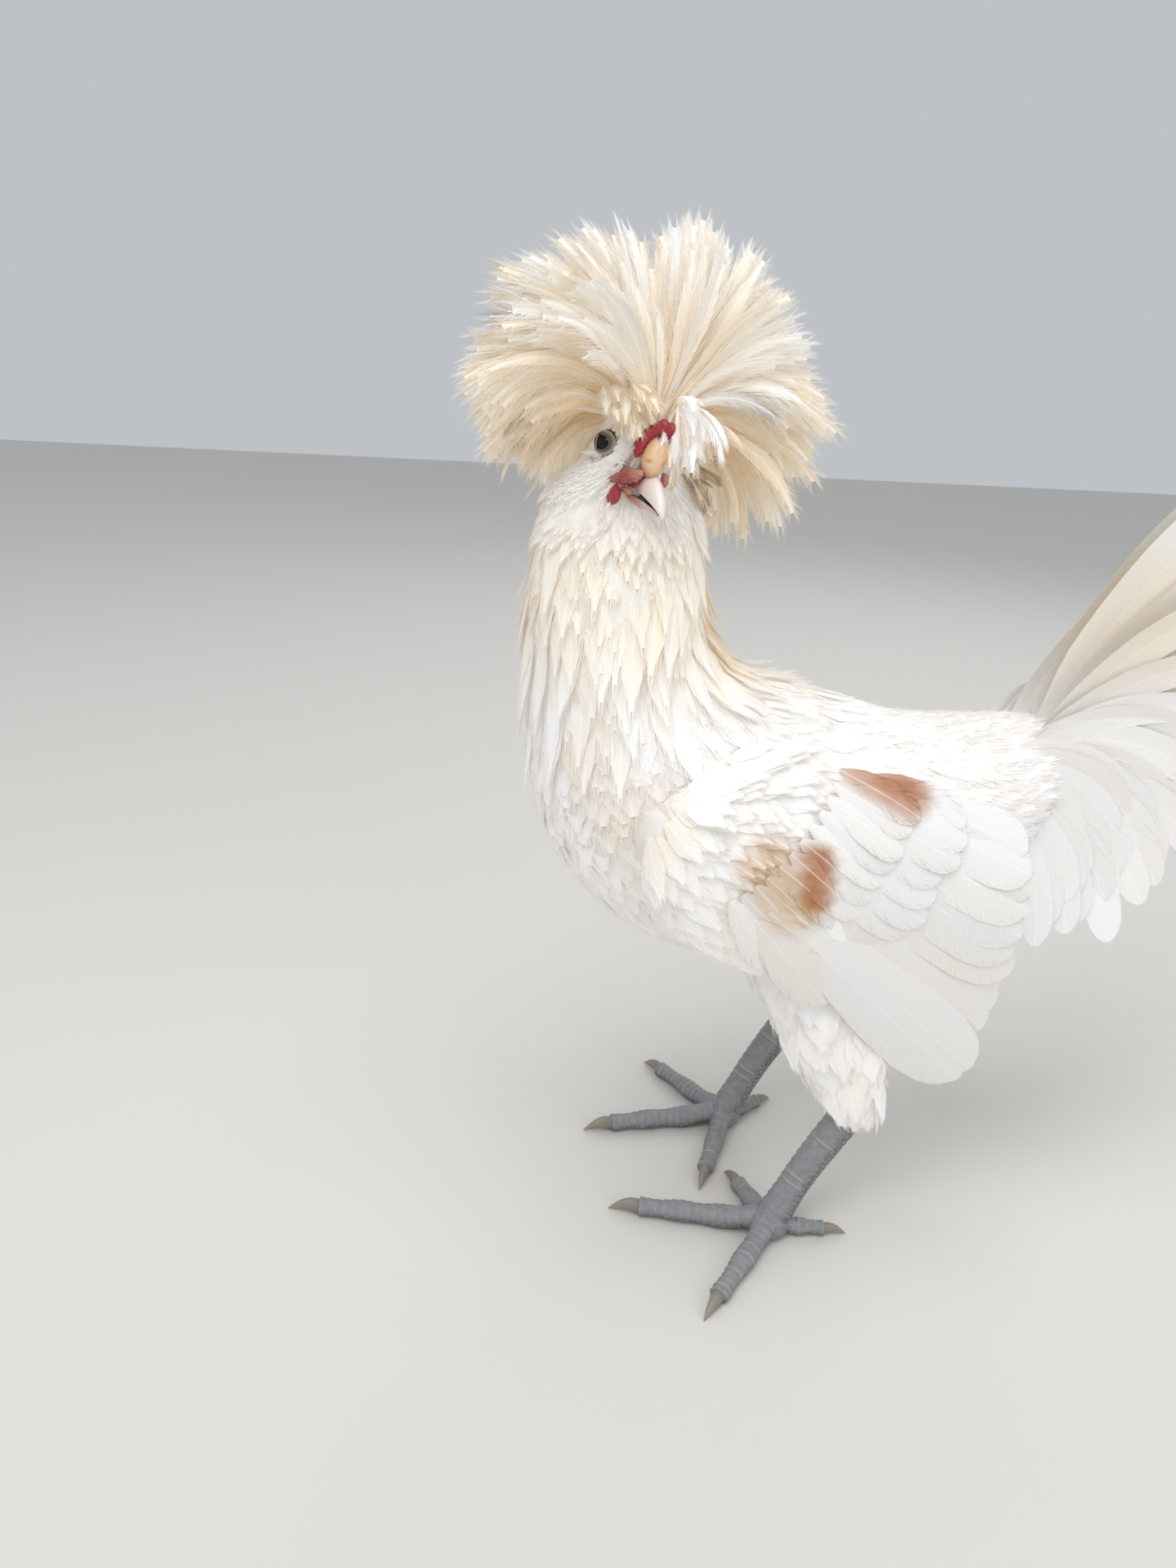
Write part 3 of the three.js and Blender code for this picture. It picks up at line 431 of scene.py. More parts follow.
def feather_material(name, barb, relief, lines, glow):
    """Keratin vane: a white, matte web whose barbs leave the shaft at a slant. It gives the eye soft fine
    lines of painted shade across each feather, along its barbs, and marks tint it cream, rust or grey. The
    barbs
    are drawn `barb` millimetres apart, coarser than the real 0.3 mm, so that they show. `glow` is a painted
    glow:
    it stands for the light that comes through the thin white webs from feather to feather, and lightens the
    shade between them."""
    look = Look(name, 0.7, Specular_IOR_Level=0.25, Sheen_Weight=0.2, Sheen_Roughness=0.5,
                Emission_Strength=glow)
    cream, rust, slate, tone = look.marks()
    vane = look.add("UVMap", settings={"uv_map": "Vane"})
    xy, _ = look.add("SeparateXYZ", Vector=vane)
    aside = look.math("ABSOLUTE", (xy, 0))
    slant = look.math("SUBTRACT", (xy, 1), look.math("MULTIPLY", aside, 1.15))
    wander = look.math("MULTIPLY", look.add("TexNoise", Vector=vane, Scale=0.35, Detail=2.0), 1.6)
    wave = look.math("SINE", look.math("MULTIPLY", look.math("ADD", slant, wander), FULL_TURN / barb))
    height = look.math("MULTIPLY_ADD", wave, 0.5, 0.5)
    base = look.mix(cream, WHITE, CREAM)
    base = look.mix(rust, base, RUST)
    base = look.mix(slate, base, SLATE)
    shade = look.math("MULTIPLY_ADD", tone, 0.06, 0.95)
    base = look.mix(1.0, base, look.add("CombineColor", Red=shade, Green=shade, Blue=shade), "MULTIPLY")
    # painted shade: the barb lines darken towards BARB_SHADE by `lines` as the relief rises
    base = look.mix(look.math("MULTIPLY", height, lines), base, BARB_SHADE)
    base = look.mix(look.math("MULTIPLY", look.math("LESS_THAN", aside, 0.32), 0.35), base, SHAFT)
    # painted glow: the vane gives off its own colour as light, `glow` strong, which lightens the shade between
    # feathers
    look.fill(look.shader, Emission_Color=base)
    return look.done(base, height, relief, 0.0003)


def skin_material():
    """Thin bird skin: its white down hides it below the coat, and it is pink round the eye and red at the
    mouth. It gives the eye a soft, finely pimpled face."""
    look = Look("bird skin", 0.6, Subsurface_Weight=0.15, Subsurface_Scale=0.002)
    pink, red, dark, _ = look.marks()
    noise = look.texture("TexNoise", 500.0, Detail=4.0)
    base = look.mix(pink, "#f7f4ef", "#c79f8c")
    base = look.mix(red, base, "#b0463f")
    base = look.mix(dark, base, "#33251f")
    base = look.mix(look.math("MULTIPLY", noise, 0.22), base, "#cdb9a8")
    return look.done(base, noise, 0.4, 0.0004)


def flesh_material(name, low, high):
    """Comb and wattle flesh: red, finely pimpled skin with a soft gloss and darker hollows."""
    look = Look(name, 0.42, Subsurface_Weight=0.25, Subsurface_Scale=0.0015,
                Subsurface_Radius=(1.0, 0.25, 0.15))
    base = look.mix(look.texture("TexNoise", 260.0, Detail=3.0), low, high)
    return look.done(base, look.texture("TexVoronoi", 900.0), 0.5, 0.0003)


def horn_material(name, tip, root, streak, roughness):
    """Beak and claw horn: layered keratin with a satin gloss and faint growth streaks. marks carries 0 at
    the root and 1 at the tip, then how far skin covers it, and a painted shadow: the near-black shade of the
    mouth's slit."""
    look = Look(name, roughness, Subsurface_Weight=0.1, Subsurface_Scale=0.001)
    out, skin_cover, mouth, _ = look.marks()
    noise = look.texture("TexNoise", 420.0, Detail=4.0)
    base = look.mix(out, root, tip)
    base = look.mix(look.math("MULTIPLY", noise, 0.35), base, streak)
    base = look.mix(skin_cover, base, "#b5584f")
    # painted shadow: near black where the shaded slit of the mouth shows between the beaks
    base = look.mix(mouth, base, "#2a1a18")
    return look.done(base, noise, 0.2, 0.0002)


def scale_material():
    """Leg scutes: hard slate-blue plates with dark seams and a painted highlight that makes each plate paler
    at its raised far edge. marks carries how far across a plate a point is, and how much it lies on the
    plates' side."""
    look = Look("scuted leg skin", 0.5, Specular_IOR_Level=0.4)
    across, plates, _, _ = look.marks()
    grain = look.texture("TexNoise", 300.0, Detail=5.0)
    cells = look.texture("TexVoronoi", 420.0, {"feature": "DISTANCE_TO_EDGE"})
    base = look.mix(grain, "#70757a", "#9b9c9b")
    small = look.mix(look.ramp(cells, (0, 0), (0.18, 1)), "#55585b", base)
    base = look.mix(plates, small, base)
    # painted highlight: paler at each plate's raised far edge, and a little just past the seam before it
    edge = look.ramp(across, (0, 0.35), (0.16, 0), (0.72, 0), (0.95, 1))
    pale = look.math("MULTIPLY", look.math("MULTIPLY", edge, plates), 0.55)
    return look.done(look.mix(pale, base, "#b9b6ae"), grain, 0.35, 0.0004)


def eye_material():
    """A wet eye: black pupil, amber-brown iris with fine rays, dark rim. marks carries the angle from the
    middle of the pupil, over a right angle."""
    look = Look("wet eye", 0.12, Specular_IOR_Level=0.35)
    iris = look.mix(look.texture("TexNoise", 1500.0, Detail=2.0), "#5a3214", "#a86f34")
    inner = look.ramp(look.marks()[0], (0.44, 0), (0.46, 1), (0.56, 1), (0.62, 0.05))
    return look.done(look.mix(inner, "#050404", iris))


# glow is painted glow: emission that lightens the shade between feathers
VANE = feather_material("white contour feather", barb=0.9, relief=0.3, lines=0.1, glow=0.12)
FLIGHT = feather_material("white flight feather", barb=1.0, relief=0.25, lines=0.12, glow=0.02)
PLUME = feather_material("cream crest feather", barb=0.8, relief=0.3, lines=0.12, glow=0.13)
SKIN = skin_material()
COMB_FLESH = flesh_material("red comb skin", "#8a2230", "#bf424a")
BEAK_HORN = horn_material("ivory beak horn", "#f1ecea", "#cdb5a8", "#c9b0a6", 0.34)
NOSTRIL_SKIN = horn_material("buff nostril skin", "#e6c79f", "#d6a46c", "#d0826a", 0.45)
CLAW_HORN = horn_material("grey claw horn", "#a39684", "#86827c", "#6f675c", 0.42)
SCUTES = scale_material()
WET_EYE = eye_material()

# ---------------------------------------------------------------- feathers


def feather_template(outline, size, stations, columns, core, barbs, slant, seed, thick=0.35, camber=0.08,
                     fat=0.15, keep=0.1, fray=0.12, soft=0.0):
    """A feather in its own terms: t along the shaft, s across in half widths, h above it in millimetres, and
    how far its camber drops it in half widths.

    The vane is a closed lens, its faces meeting at its edges. Its half widths are read from `outline`, times
    `core`, and it thins out towards the tip. Where `soft` is given it narrows and stops that share short.
    Barbs are three-sided spikes that leave the vane from the share `keep` on, at about `slant` degrees to
    the shaft, and end on the outline, a share `fray` within or beyond it, so that they make the rest of the
    feather and its soft edge. `size` is the usual length and width, by which millimetres turn to t and s.
    """
    draw = np.random.default_rng(seed)
    long, half = size[0], size[1] / 2
    outer = lambda at: np.interp(at, *np.transpose(outline))
    narrow = lambda at: 1 - 0.75 * blur(at, 0.5, 1 - soft) * (soft > 0)
    sag = lambda s: -camber * np.abs(s) ** 1.5

    # the vane: rings of points over its top and back below it, and a cap on each end
    t = (1 - soft) * (1 - (1 - np.linspace(0, 1, stations)) ** 1.6)
    across = np.linspace(-1, 1, columns)
    top = (core * outer(t) * narrow(t))[:, None] * across
    rise = thick * (1 - across**2)[None] * (1 - 0.6 * t[:, None])
    ring = np.concatenate([top, top[:, -2:0:-1]], 1)
    ring_rise = np.concatenate([rise, -0.5 * rise[:, -2:0:-1]], 1)
    sides = ring.shape[1]
    vane = np.stack([np.repeat(t[:, None], sides, 1), ring, ring_rise, sag(ring)], -1)
    n, last = np.arange(columns - 1), columns - 2
    low, high = (sides - n) % sides, (sides - n - 1) % sides
    caps = np.stack([n, n + 1, np.where(n == last, low, high), np.where((n == 0) | (n == last), -1, low)], -1)
    far = flipped(np.where(caps >= 0, caps + (stations - 1) * sides, -1))

    # the barbs: left and right in turn, closer towards the tip; three passes find where each meets the
    # outline, then a quarter turn from its way gives its two feet
    side = np.where(np.arange(barbs) % 2, -1, 1)
    even = (np.arange(barbs) // 2 + draw.random(barbs)) / max(1, barbs / 2)
    at = keep + ((0.985 - soft) - keep) * even**0.65
    inner = outer(at) * core * narrow(at) * half * draw.uniform(0.4, 0.92, barbs)
    slope = np.tan(np.radians(slant * draw.uniform(0.75, 1.3, barbs)))
    end = at.copy()
    for _ in range(3):
        end = at + np.maximum(outer(np.minimum(end, 1)) * half - inner, 0.15 * half) / slope / long
    over = np.clip((end - 1) / 0.2, 0, 1)
    end = np.minimum(end, 1 + fray * 0.3 * draw.uniform(-1, 1, barbs))
    rim = outer(np.minimum(end, 1)) * half * (1 + fray * draw.uniform(-1.2, 1, barbs))
    rim = rim * (1 - 0.8 * over * draw.random(barbs))
    start, tip = np.stack([at * long, inner * side], -1), np.stack([end * long, rim * side], -1)
    way = unit(tip - start)
    aside = np.stack([-way[:, 1], way[:, 0]], -1)[:, None] * (fat * np.array([1, -1, 0])[None, :, None])
    flat = np.concatenate([start[:, None] + aside, tip[:, None]], 1)
    foot_rise = np.broadcast_to(0.04 + fat * np.array([0, 0, 1.6]), (barbs, 3))
    above = np.concatenate([foot_rise, draw.uniform(-0.25, 0.5, barbs)[:, None]], 1)
    s = flat[..., 1] / half
    spikes = np.stack([flat[..., 0] / long, s, above, sag(s)], -1)
    spike = np.array([[0, 1, 3, -1], [1, 2, 3, -1], [2, 0, 3, -1], [2, 1, 0, -1]])
    quads = ring_quads(stations, sides)[:, [0, 3, 2, 1]]
    return {
        "points": np.concatenate([vane.reshape(-1, 4), spikes.reshape(-1, 4)]),
        "faces": np.concatenate([quads, caps, far, repeated(spike, barbs, 4, stations * sides)]),
    }


def square_to(v, ahead):
    """The way of v that is square to a unit way."""
    return unit(v - ahead * (v * ahead).sum(-1, keepdims=True))


def plumes(template, root, heading, curl, length, width, bend, roll=0.0):
    """Points (feathers, template points, 3) of every feather of a coat.

    Each shaft is an arc that leaves root along heading and bends towards curl by bend degrees. A template
    point goes t along the arc, s half widths to the side and h above it, away from curl, after a roll.
    """
    sizes = (length, width, bend, roll)
    length, width, bend, roll = (np.broadcast_to(np.asarray(n, float), len(root))[:, None] for n in sizes)
    t, s, h, sag = template["points"].T
    ahead = unit(heading)
    towards = square_to(curl, ahead)
    turn = np.radians(np.where(np.abs(bend) < 0.1, 0.1, bend))
    angle = turn * t
    along = (length * np.sin(angle) / turn)[..., None]
    aside = (length * (1 - np.cos(angle)) / turn)[..., None]
    middle = root[:, None] + along * ahead[:, None] + aside * towards[:, None]
    cos, sin = np.cos(angle)[..., None], np.sin(angle)[..., None]
    inward = cos * towards[:, None] - sin * ahead[:, None]
    across = np.cross(ahead, towards)[:, None]
    c, r = np.cos(np.radians(roll))[..., None], np.sin(np.radians(roll))[..., None]
    side, face = across * c + inward * r, inward * c - across * r
    half = width / 2
    return middle + side * (s * half)[..., None] - face * (h + sag * half)[..., None]


# A feather's patch on the bake map, and how far apart neighbours' vanes lie in the barbs' noise.
BAKE_WIDE, BAKE_LONG, VANE_STEP = 0.0013, 0.0026, 3.7


def coat(name, material, template, places, patch, slot="plumage", marks=None, **sizes):
    """One piece of many feathers. places gives root, heading and curl, patch where each root lies on the
    unwrapped body, and marks the colours of the points, by `markings` where they are left out."""
    points = plumes(template, *places, **sizes)
    count, per = points.shape[:2]
    t, s = template["points"].T[:2]
    length, width = (np.broadcast_to(sizes[n], count)[:, None] for n in ("length", "width"))
    vane = np.stack([s * width / 2, t * length + np.arange(count)[:, None] * VANE_STEP], -1)
    bake = patch[:, None] + np.stack([s * BAKE_WIDE, (t - 0.5) * BAKE_LONG], -1)
    obj = make_mesh(name, points, repeated(template["faces"], count, per), material, sharp=55,
                    uvs={"OFBake": bake, "Vane": vane}, marks=markings(points) if marks is None else marks)
    obj.data.uv_layers.active = obj.data.uv_layers["OFBake"]
    return obj


# Half widths along a feather.
CONTOUR = [[0, 0.3], [0.25, 0.8], [0.5, 0.98], [0.7, 1.0], [0.85, 0.86], [0.94, 0.6], [1, 0.15]]
HACKLE = [[0, 0.35], [0.3, 0.85], [0.55, 1.0], [0.76, 0.84], [0.9, 0.54], [1, 0.08]]
PLUMAGE = [[0, 0.16], [0.3, 0.5], [0.55, 0.85], [0.74, 1.0], [0.87, 0.92], [0.95, 0.7], [1, 0.3]]
BROAD = [[0, 0.16], [0.06, 0.32], [0.2, 0.7], [0.5, 0.97], [0.75, 1.0], [0.9, 0.82], [0.97, 0.5], [1, 0.14]]
DOWN = [[0, 0.3], [0.5, 0.8], [1, 1.0]]
SICKLE = [[0, 0.4], [0.1, 0.75], [0.3, 1], [0.55, 0.92], [0.75, 0.68], [0.9, 0.4], [1, 0.08]]

# outline, usual length and width, stations, columns, core, barbs, slant, seed
contour = feather_template(CONTOUR, (34, 20), 6, 5, 0.86, 40, 20, 3,
                           thick=0.2, camber=0.05, fat=0.15, keep=0.4, fray=0.2, soft=0.08)
hackle = feather_template(HACKLE, (36, 10), 5, 3, 0.8, 40, 10, 4,
                          thick=0.2, camber=0.06, fat=0.11, keep=0.3, fray=0.3, soft=0.1)
plume = feather_template(PLUMAGE, (66, 18), 8, 3, 0.5, 80, 17, 5,
                         thick=0.22, camber=0.1, fat=0.15, keep=0.2, fray=0.16, soft=0.06)
flight = feather_template(BROAD, (120, 30), 20, 9, 0.97, 50, 28, 6, thick=0.5, camber=0.12, fray=0.05)
covert = feather_template(BROAD, (52, 22), 12, 7, 0.88, 70, 24, 7, thick=0.35, fray=0.16)
down = feather_template(DOWN, (11, 6), 2, 3, 0.1, 18, 16, 8, thick=0.1, fat=0.07, fray=0.4)
rectrix = feather_template(BROAD, (170, 29), 30, 9, 0.97, 90, 26, 16, thick=0.6, fray=0.05)
sickle = feather_template(SICKLE, (180, 19), 36, 7, 0.9, 140, 30, 17, thick=0.6, camber=0.15, fray=0.1)


def near(points, place, radius):
    """1 at a place, falling to 0 at a radius."""
    return 1 - blur(np.linalg.norm(points - place, axis=-1), 0.35 * radius, radius)


def near_line(points, start, end, radius):
    """1 on the line between two places, falling to 0 at a radius."""
    start, line = np.asarray(start, float), np.subtract(end, start, dtype=float)
    share = np.clip((points - start) @ line / (line @ line), 0, 1)
    return 1 - blur(np.linalg.norm(points - start - share[..., None] * line, axis=-1), 0.3 * radius, radius)


# Coloured patches of the left wing and breast: start, end, radius, cream, rust
PATCHES = [
    ((71, -26, 254), (74, 16, 230), 14, 0.65, 1.0),
    ((70, -26, 253), (70, -14, 248), 8, 0.5, 0.3),
    ((80, -26, 205), (80, -24, 189), 9, 0.7, 1.0),
    ((79, -46, 203), (80, -32, 184), 16, 0.7, 0.32),
    ((34, 62, 244), (34, 84, 240), 12, 0.8, 0.0),
    ((60, -84, 216), (58, -96, 200), 22, 0.25, 0.03),
    ((40, -116, 236), (52, -104, 214), 26, 0.2, 0.04),
    ((-20, -56, 300), (0, -52, 270), 30, 0.5, 0.0),
]


def tints(cream, rust, slate, tone):
    """Marks of a coat: how cream, rust and slate each point is, and its tone."""
    return columns(np.clip(cream, 0, 1), np.clip(rust, 0, 1), slate, tone)


def markings(points):
    """Marks that are white all over, a little cream on the neck, with buff and rust patches on the left wing
    and breast. Each feather takes them a little more or less."""
    each = (len(points), 1)
    patchy = rng.uniform(0.55, 1.1, each)
    high = points[..., 2]
    cream = 0.03 + 0.3 * blur(high, 238, 285) * (1 - blur(high, 300, 335)) + rng.normal(0, 0.05, each)
    rust = np.zeros(points.shape[:-1])
    for start, end, radius, buff, red in PATCHES:
        here = near_line(points, start, end, radius) * patchy * rng.uniform(0.75, 1.15, rust.shape)
        cream = cream + buff * here
        rust = np.maximum(rust, red * here**0.5)
    return tints(cream, rust, 0, rng.uniform(0, 1, each))


def body_patch(k, v):
    """Where a root on the trunk lies on its unwrap, the left and lower part of the bake map."""
    return np.stack([0.02 + 0.6 * k / 15, 0.02 + 0.46 * ((v / FULL_TURN) % 1)], -1)


def scatter(k_range, rows, spacing, jitter=0.35):
    """Roots in staggered rows round the trunk: k and v of each, `spacing` millimetres apart in a row."""
    ks, vs = [], []
    circle = np.linspace(0, FULL_TURN, 61)
    for n, k in enumerate(np.linspace(*k_range, rows)):
        around = np.linalg.norm(np.diff(trunk(k, circle), axis=0), axis=1)
        lengths = np.concatenate([[0], np.cumsum(around)])
        count = max(6, int(lengths[-1] / spacing))
        even = (np.arange(count) + 0.5 * (n % 2)) / count * lengths[-1]
        ks.append(np.full(count, k))
        vs.append(np.interp(even % lengths[-1], lengths, circle))
    k, v = np.concatenate(ks), np.concatenate(vs)
    gap = abs(k_range[1] - k_range[0]) / rows
    k = k + rng.uniform(-jitter, jitter, len(k)) * gap
    v = v + rng.uniform(-jitter, jitter, len(v)) * 2 * np.pi / np.maximum(6, len(k) / rows)
    return k, v


def steered(normal, way, pull):
    """A way on the surface drawn aside by `pull`."""
    drawn = np.broadcast_to(pull, way.shape)
    return unit(way + drawn - normal * (normal * drawn).sum(-1, keepdims=True))


def coat_depth(k):
    """How far the skin lies inside the solids: the coat's depth, least on the face."""
    return np.interp(k, [0, 7, 9.5, 10.6, 12, 15], [5, 5, 4.5, 2.5, 1.0, 1.0])


def lie(k, v, length, pull, stray, stand):
    """Root, heading and curl of feathers on the trunk, and how far each bends.

    A root lies on the skin. Three steps along the surface, towards the tail and drawn aside by `pull`, find
    where the tip comes to lie, `stand` of the coat's depth above the skin. The shaft is the arc between the
    two that leaves the skin, and bends as much as the body does below it and 14 degrees more.
    """
    root, normal, _ = trunk_frame(k, v, -coat_depth(k))
    wave = np.sin(root[:, 0] / 9 + 1.7 * np.sin(root[:, 2] / 13)) + np.sin(root[:, 1] / 11 + root[:, 2] / 17)
    astray = np.radians(rng.normal(0, stray, len(root)) + 2.5 * wave)[:, None]
    small, steps = 0.02, 3
    at_k, at_v = k.copy(), v.copy()
    for _ in range(steps):
        _, up, rear = trunk_frame(at_k, at_v)
        way = steered(up, rear, pull)
        way = way * np.cos(astray) + np.cross(up, way) * np.sin(astray)
        by_k = (trunk(at_k + small, at_v) - trunk(at_k - small, at_v)) / (2 * small)
        by_v = (trunk(at_k, at_v + small) - trunk(at_k, at_v - small)) / (2 * small)
        at_k = np.clip(at_k + (way * by_k).sum(-1) / (by_k**2).sum(-1) * length / steps, 0.05, 14.9)
        at_v = at_v + (way * by_v).sum(-1) / (by_v**2).sum(-1) * length / steps
    end, end_normal, _ = trunk_frame(at_k, at_v, (stand - 1) * coat_depth(at_k))
    chord = unit(end - root)
    turned = np.degrees(np.arccos(np.clip((normal * end_normal).sum(-1), -1, 1)))
    bend = np.clip(turned * np.sign(((end_normal - normal) * chord).sum(-1)) + 14, 5, 70)
    out = square_to(unit(normal + end_normal), chord)
    half = np.radians(bend / 2)[:, None]
    return (root, chord * np.cos(half) + out * np.sin(half), chord * np.sin(half) - out * np.cos(half)), bend


def facing(heading, curl, outward_way):
    """The roll, in degrees, that turns each vane's upper face to a way."""
    ahead = unit(heading)
    towards = square_to(curl, ahead)
    across = np.cross(ahead, towards)
    return np.degrees(np.arctan2((outward_way * across).sum(-1), -(outward_way * towards).sum(-1)))


# ---------------------------------------------------------------- skin

# Depths of the skin inside the solids' thigh and wing, the wing's thickness inwards, the remesh's cubes
THIGH_COAT, WING_COAT, WING_INWARD, SKIN_VOXEL = 4, 3.5, 12.0, 2.5


def skin_shell():
    """One closed skin: the trunk, thighs and wing cores as lofts, joined by a voxel remesh."""
    k = np.concatenate([np.linspace(0, 10, 60), np.linspace(10.1, 15, 40)])
    shells = [loft(trunk(k[:, None], ring_angles(72)[None], -coat_depth(k)[:, None]))]
    turn = ring_angles(32)
    for leg in LEGS.values():
        rings = thigh_surface(leg, np.linspace(0, 1, 16)[:, None], turn[None], -THIGH_COAT)
        cuff, ankle = leg_points(leg)
        way = unit(cuff - ankle)
        back = unit(REAR - way * way[1])
        out = np.cross(back, way) * leg["side"]
        end = cuff + 3 * way + 7.2 * np.cos(turn)[:, None] * out + 8.4 * np.sin(turn)[:, None] * back
        shells.append(loft(np.concatenate([rings, end[None]])))
    for side in SIDES.values():
        along, b = np.linspace(0.02, 0.98, 26)[:, None], np.linspace(-0.96, 0.96, 22)[None]
        outer = wing_shell(side, along, b, WING_COAT)
        inner = wing_point(side, *wing_place(along, b)[:2], -WING_INWARD)
        shells.append(loft(np.concatenate([outer, inner[:, ::-1]], 1)))
    return together(*shells)


def remeshed(name, shell, voxel, material):
    """The shell remade on a grid of cubes and smoothed: points in millimetres, and faces."""
    rough = make_mesh(name + "_rough", *shell, material)
    grid = rough.modifiers.new("grid", "REMESH")
    grid.mode, grid.voxel_size = "VOXEL", voxel * MM
    soft = rough.modifiers.new("soft", "SMOOTH")
    soft.factor, soft.iterations = 0.5, 6
    evaluated = rough.evaluated_get(bpy.context.evaluated_depsgraph_get())
    mesh = evaluated.to_mesh()
    places = np.empty(len(mesh.vertices) * 3)
    mesh.vertices.foreach_get("co", places)
    sizes, corners = np.empty(len(mesh.polygons), np.int32), np.empty(len(mesh.loops), np.int32)
    mesh.polygons.foreach_get("loop_total", sizes)
    mesh.loops.foreach_get("vertex_index", corners)
    faces = np.full((len(sizes), 4), -1)
    faces[np.arange(4)[None] < sizes[:, None]] = corners
    evaluated.to_mesh_clear()
    bpy.data.objects.remove(rough)
    return places.reshape(-1, 3) / MM - SHIFT, faces


def face_marks(points):
    """Skin tints: pink round the eyes, red at the mouth's corners and by the comb, dark at the lids."""
    marks = np.zeros((*points.shape[:-1], 4))

    def tint(channel, strength, place, radius):
        marks[..., channel] = np.maximum(marks[..., channel], strength * near(points, place, radius))

    for side in SIDES.values():
        tint(0, 1, eye_middle(side), 17)
        tint(1, 0.8, on_head(11, side * 10, -13), 7)
        tint(2, 0.5, eye_middle(side), 7)
    tint(1, 0.7, on_head(21, 0, -3), 9)
    return marks


skin_points, skin_faces = remeshed("skin", skin_shell(), SKIN_VOXEL, SKIN)
skin = make_mesh("skin", skin_points, skin_faces, SKIN, marks=face_marks(skin_points))
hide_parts("torso", "neck", "head", "thigh_left", "thigh_right")

# ---------------------------------------------------------------- coat of the trunk


def clear_of_wing(points):
    """False where a folded wing covers the body."""
    y, z = points[:, 1], points[:, 2]
    low, high = 128 + 0.45 * np.abs(y + 20), 236 - 0.12 * (y + 60)
    return ~((np.abs(points[:, 0]) > 40) & (y > -56) & (y < 12) & (z > low) & (z < high))


def off_face(points):
    """True where the head has feathers: clear of the eyes, the beak's root and the mouth's corners."""
    clear = np.linalg.norm(points - on_head(25, 0, -9), axis=1) > 12.5
    for side in SIDES.values():
        clear &= np.linalg.norm(points - eye_middle(side), axis=1) > 6.4
        clear &= np.linalg.norm(points - on_head(14, side * 9, -15), axis=1) > 5
    return clear


def body_coat(name, roots, template, length, width, pull=(0, 0, -0.05), stray=4, stand=0.7, keep=None):
    """Feathers on the trunk at roots k and v, where keep holds. length and width may be functions of k."""
    k, v = roots
    if keep:
        k, v = (n[keep(trunk(*roots))] for n in roots)
    sizes = (size(k) if callable(size) else size for size in (length, width))
    length, width = (size * rng.normal(1, 0.08, len(k)) for size in sizes)
    places, bend = lie(k, v, length, pull, stray, stand)
    return coat(name, VANE, template, places, body_patch(k, v), length=length, width=width, bend=bend,
                roll=rng.normal(0, 3, len(k)))


def on_neck(low, high):
    """A size from the foot of the neck to its top, as a function of k."""
    return lambda k: np.interp(k, [7, 10.4], [low, high])


body_coat("body_feathers_rear", scatter((0.9, 4.6), 26, 11), contour, 36, 21, keep=clear_of_wing)
body_coat("body_feathers_front", scatter((4.6, 7.4), 21, 10), contour, 35, 20, stray=3, stand=0.5,
          keep=clear_of_wing)
body_coat("neck_hackles", scatter((6.9, 10.4), 17, 7.4), hackle, on_neck(50, 34), on_neck(17, 12),
          stray=3, stand=0.5)
body_coat("loose_hackles", scatter((7.2, 10.0), 8, 15), hackle, 44, 12, stray=9, stand=1.5)

# Face and forehead: short feathers and down that point back, or stand up over the brow.
face_way = -0.7 * FACE[0]
body_coat("cheek_feathers", scatter((10.0, 12.2), 12, 5.4), hackle, 22, 9, face_way, 9, 1.1, off_face)
body_coat("face_down", scatter((11.0, 14.6), 28, 2.9), down, 12, 6, face_way, 14, 2.2, off_face)
k, v = scatter((13.25, 14.7), 11, 3)
brow_line = np.abs(v - np.radians(88)) < np.radians(80)
body_coat("forehead_feathers", (k[brow_line], v[brow_line]), hackle, 18, 7, 5 * FACE[2], 9, 3.0,
          lambda points: off_face(points) & (points[:, 2] > 353))

# Saddle hackles: long and narrow, over the rump and behind the wings.
body_coat("saddle_hackles", scatter((1.2, 3.6), 20, 8), hackle, 52, 14, (0, 0, -0.55), 5, 0.85,
          lambda points: (points[:, 2] > 186) & clear_of_wing(points))


def thigh_coat(word, leg):
    """Feathers of the thigh in staggered rows, shorter towards the cuff, where they hang over it."""
    rows, per, step = 17, 17, 0.01
    share, angle = np.meshgrid(np.linspace(0.02, 1.0, rows), np.arange(per) / per * 2 * np.pi, indexing="ij")
    share = (share + rng.uniform(-0.02, 0.02, share.shape)).ravel()
    staggered = np.pi / per * (np.arange(rows)[:, None] % 2)
    angle = (angle + staggered + rng.uniform(-0.1, 0.1, angle.shape)).ravel()
    thigh = lambda by_share, by_angle: thigh_surface(leg, share + by_share, angle + by_angle, -THIGH_COAT)
    down_way = unit(thigh(step, 0) - thigh(-step, 0))
    normal = unit(np.cross(down_way, thigh(0, step) - thigh(0, -step))) * leg["side"]
    way = steered(normal, down_way, (0, 0.15, -0.5))
    lift = np.radians(np.interp(share, [0, 1], [15, 19]) + rng.normal(0, 4, len(share)))[:, None]
    heading = way * np.cos(lift) + normal * np.sin(lift)
    around = 0.02 + (0.25 if leg["side"] > 0 else 0) + 0.2 * ((angle / FULL_TURN) % 1)
    length = np.interp(share, [0, 0.8, 1], [30, 26, 20]) * rng.normal(1, 0.12, len(share))
    coat(f"thigh_feathers_{word}", VANE, contour, (thigh(0, 0), heading, -normal),
         np.stack([0.66 + 0.15 * share, around], -1), length=length, width=np.interp(share, [0, 1], [17, 13]),
         bend=24, roll=rng.normal(0, 8, len(share)))


for word, leg in LEGS.items():
    thigh_coat(word, leg)

# ---------------------------------------------------------------- wings

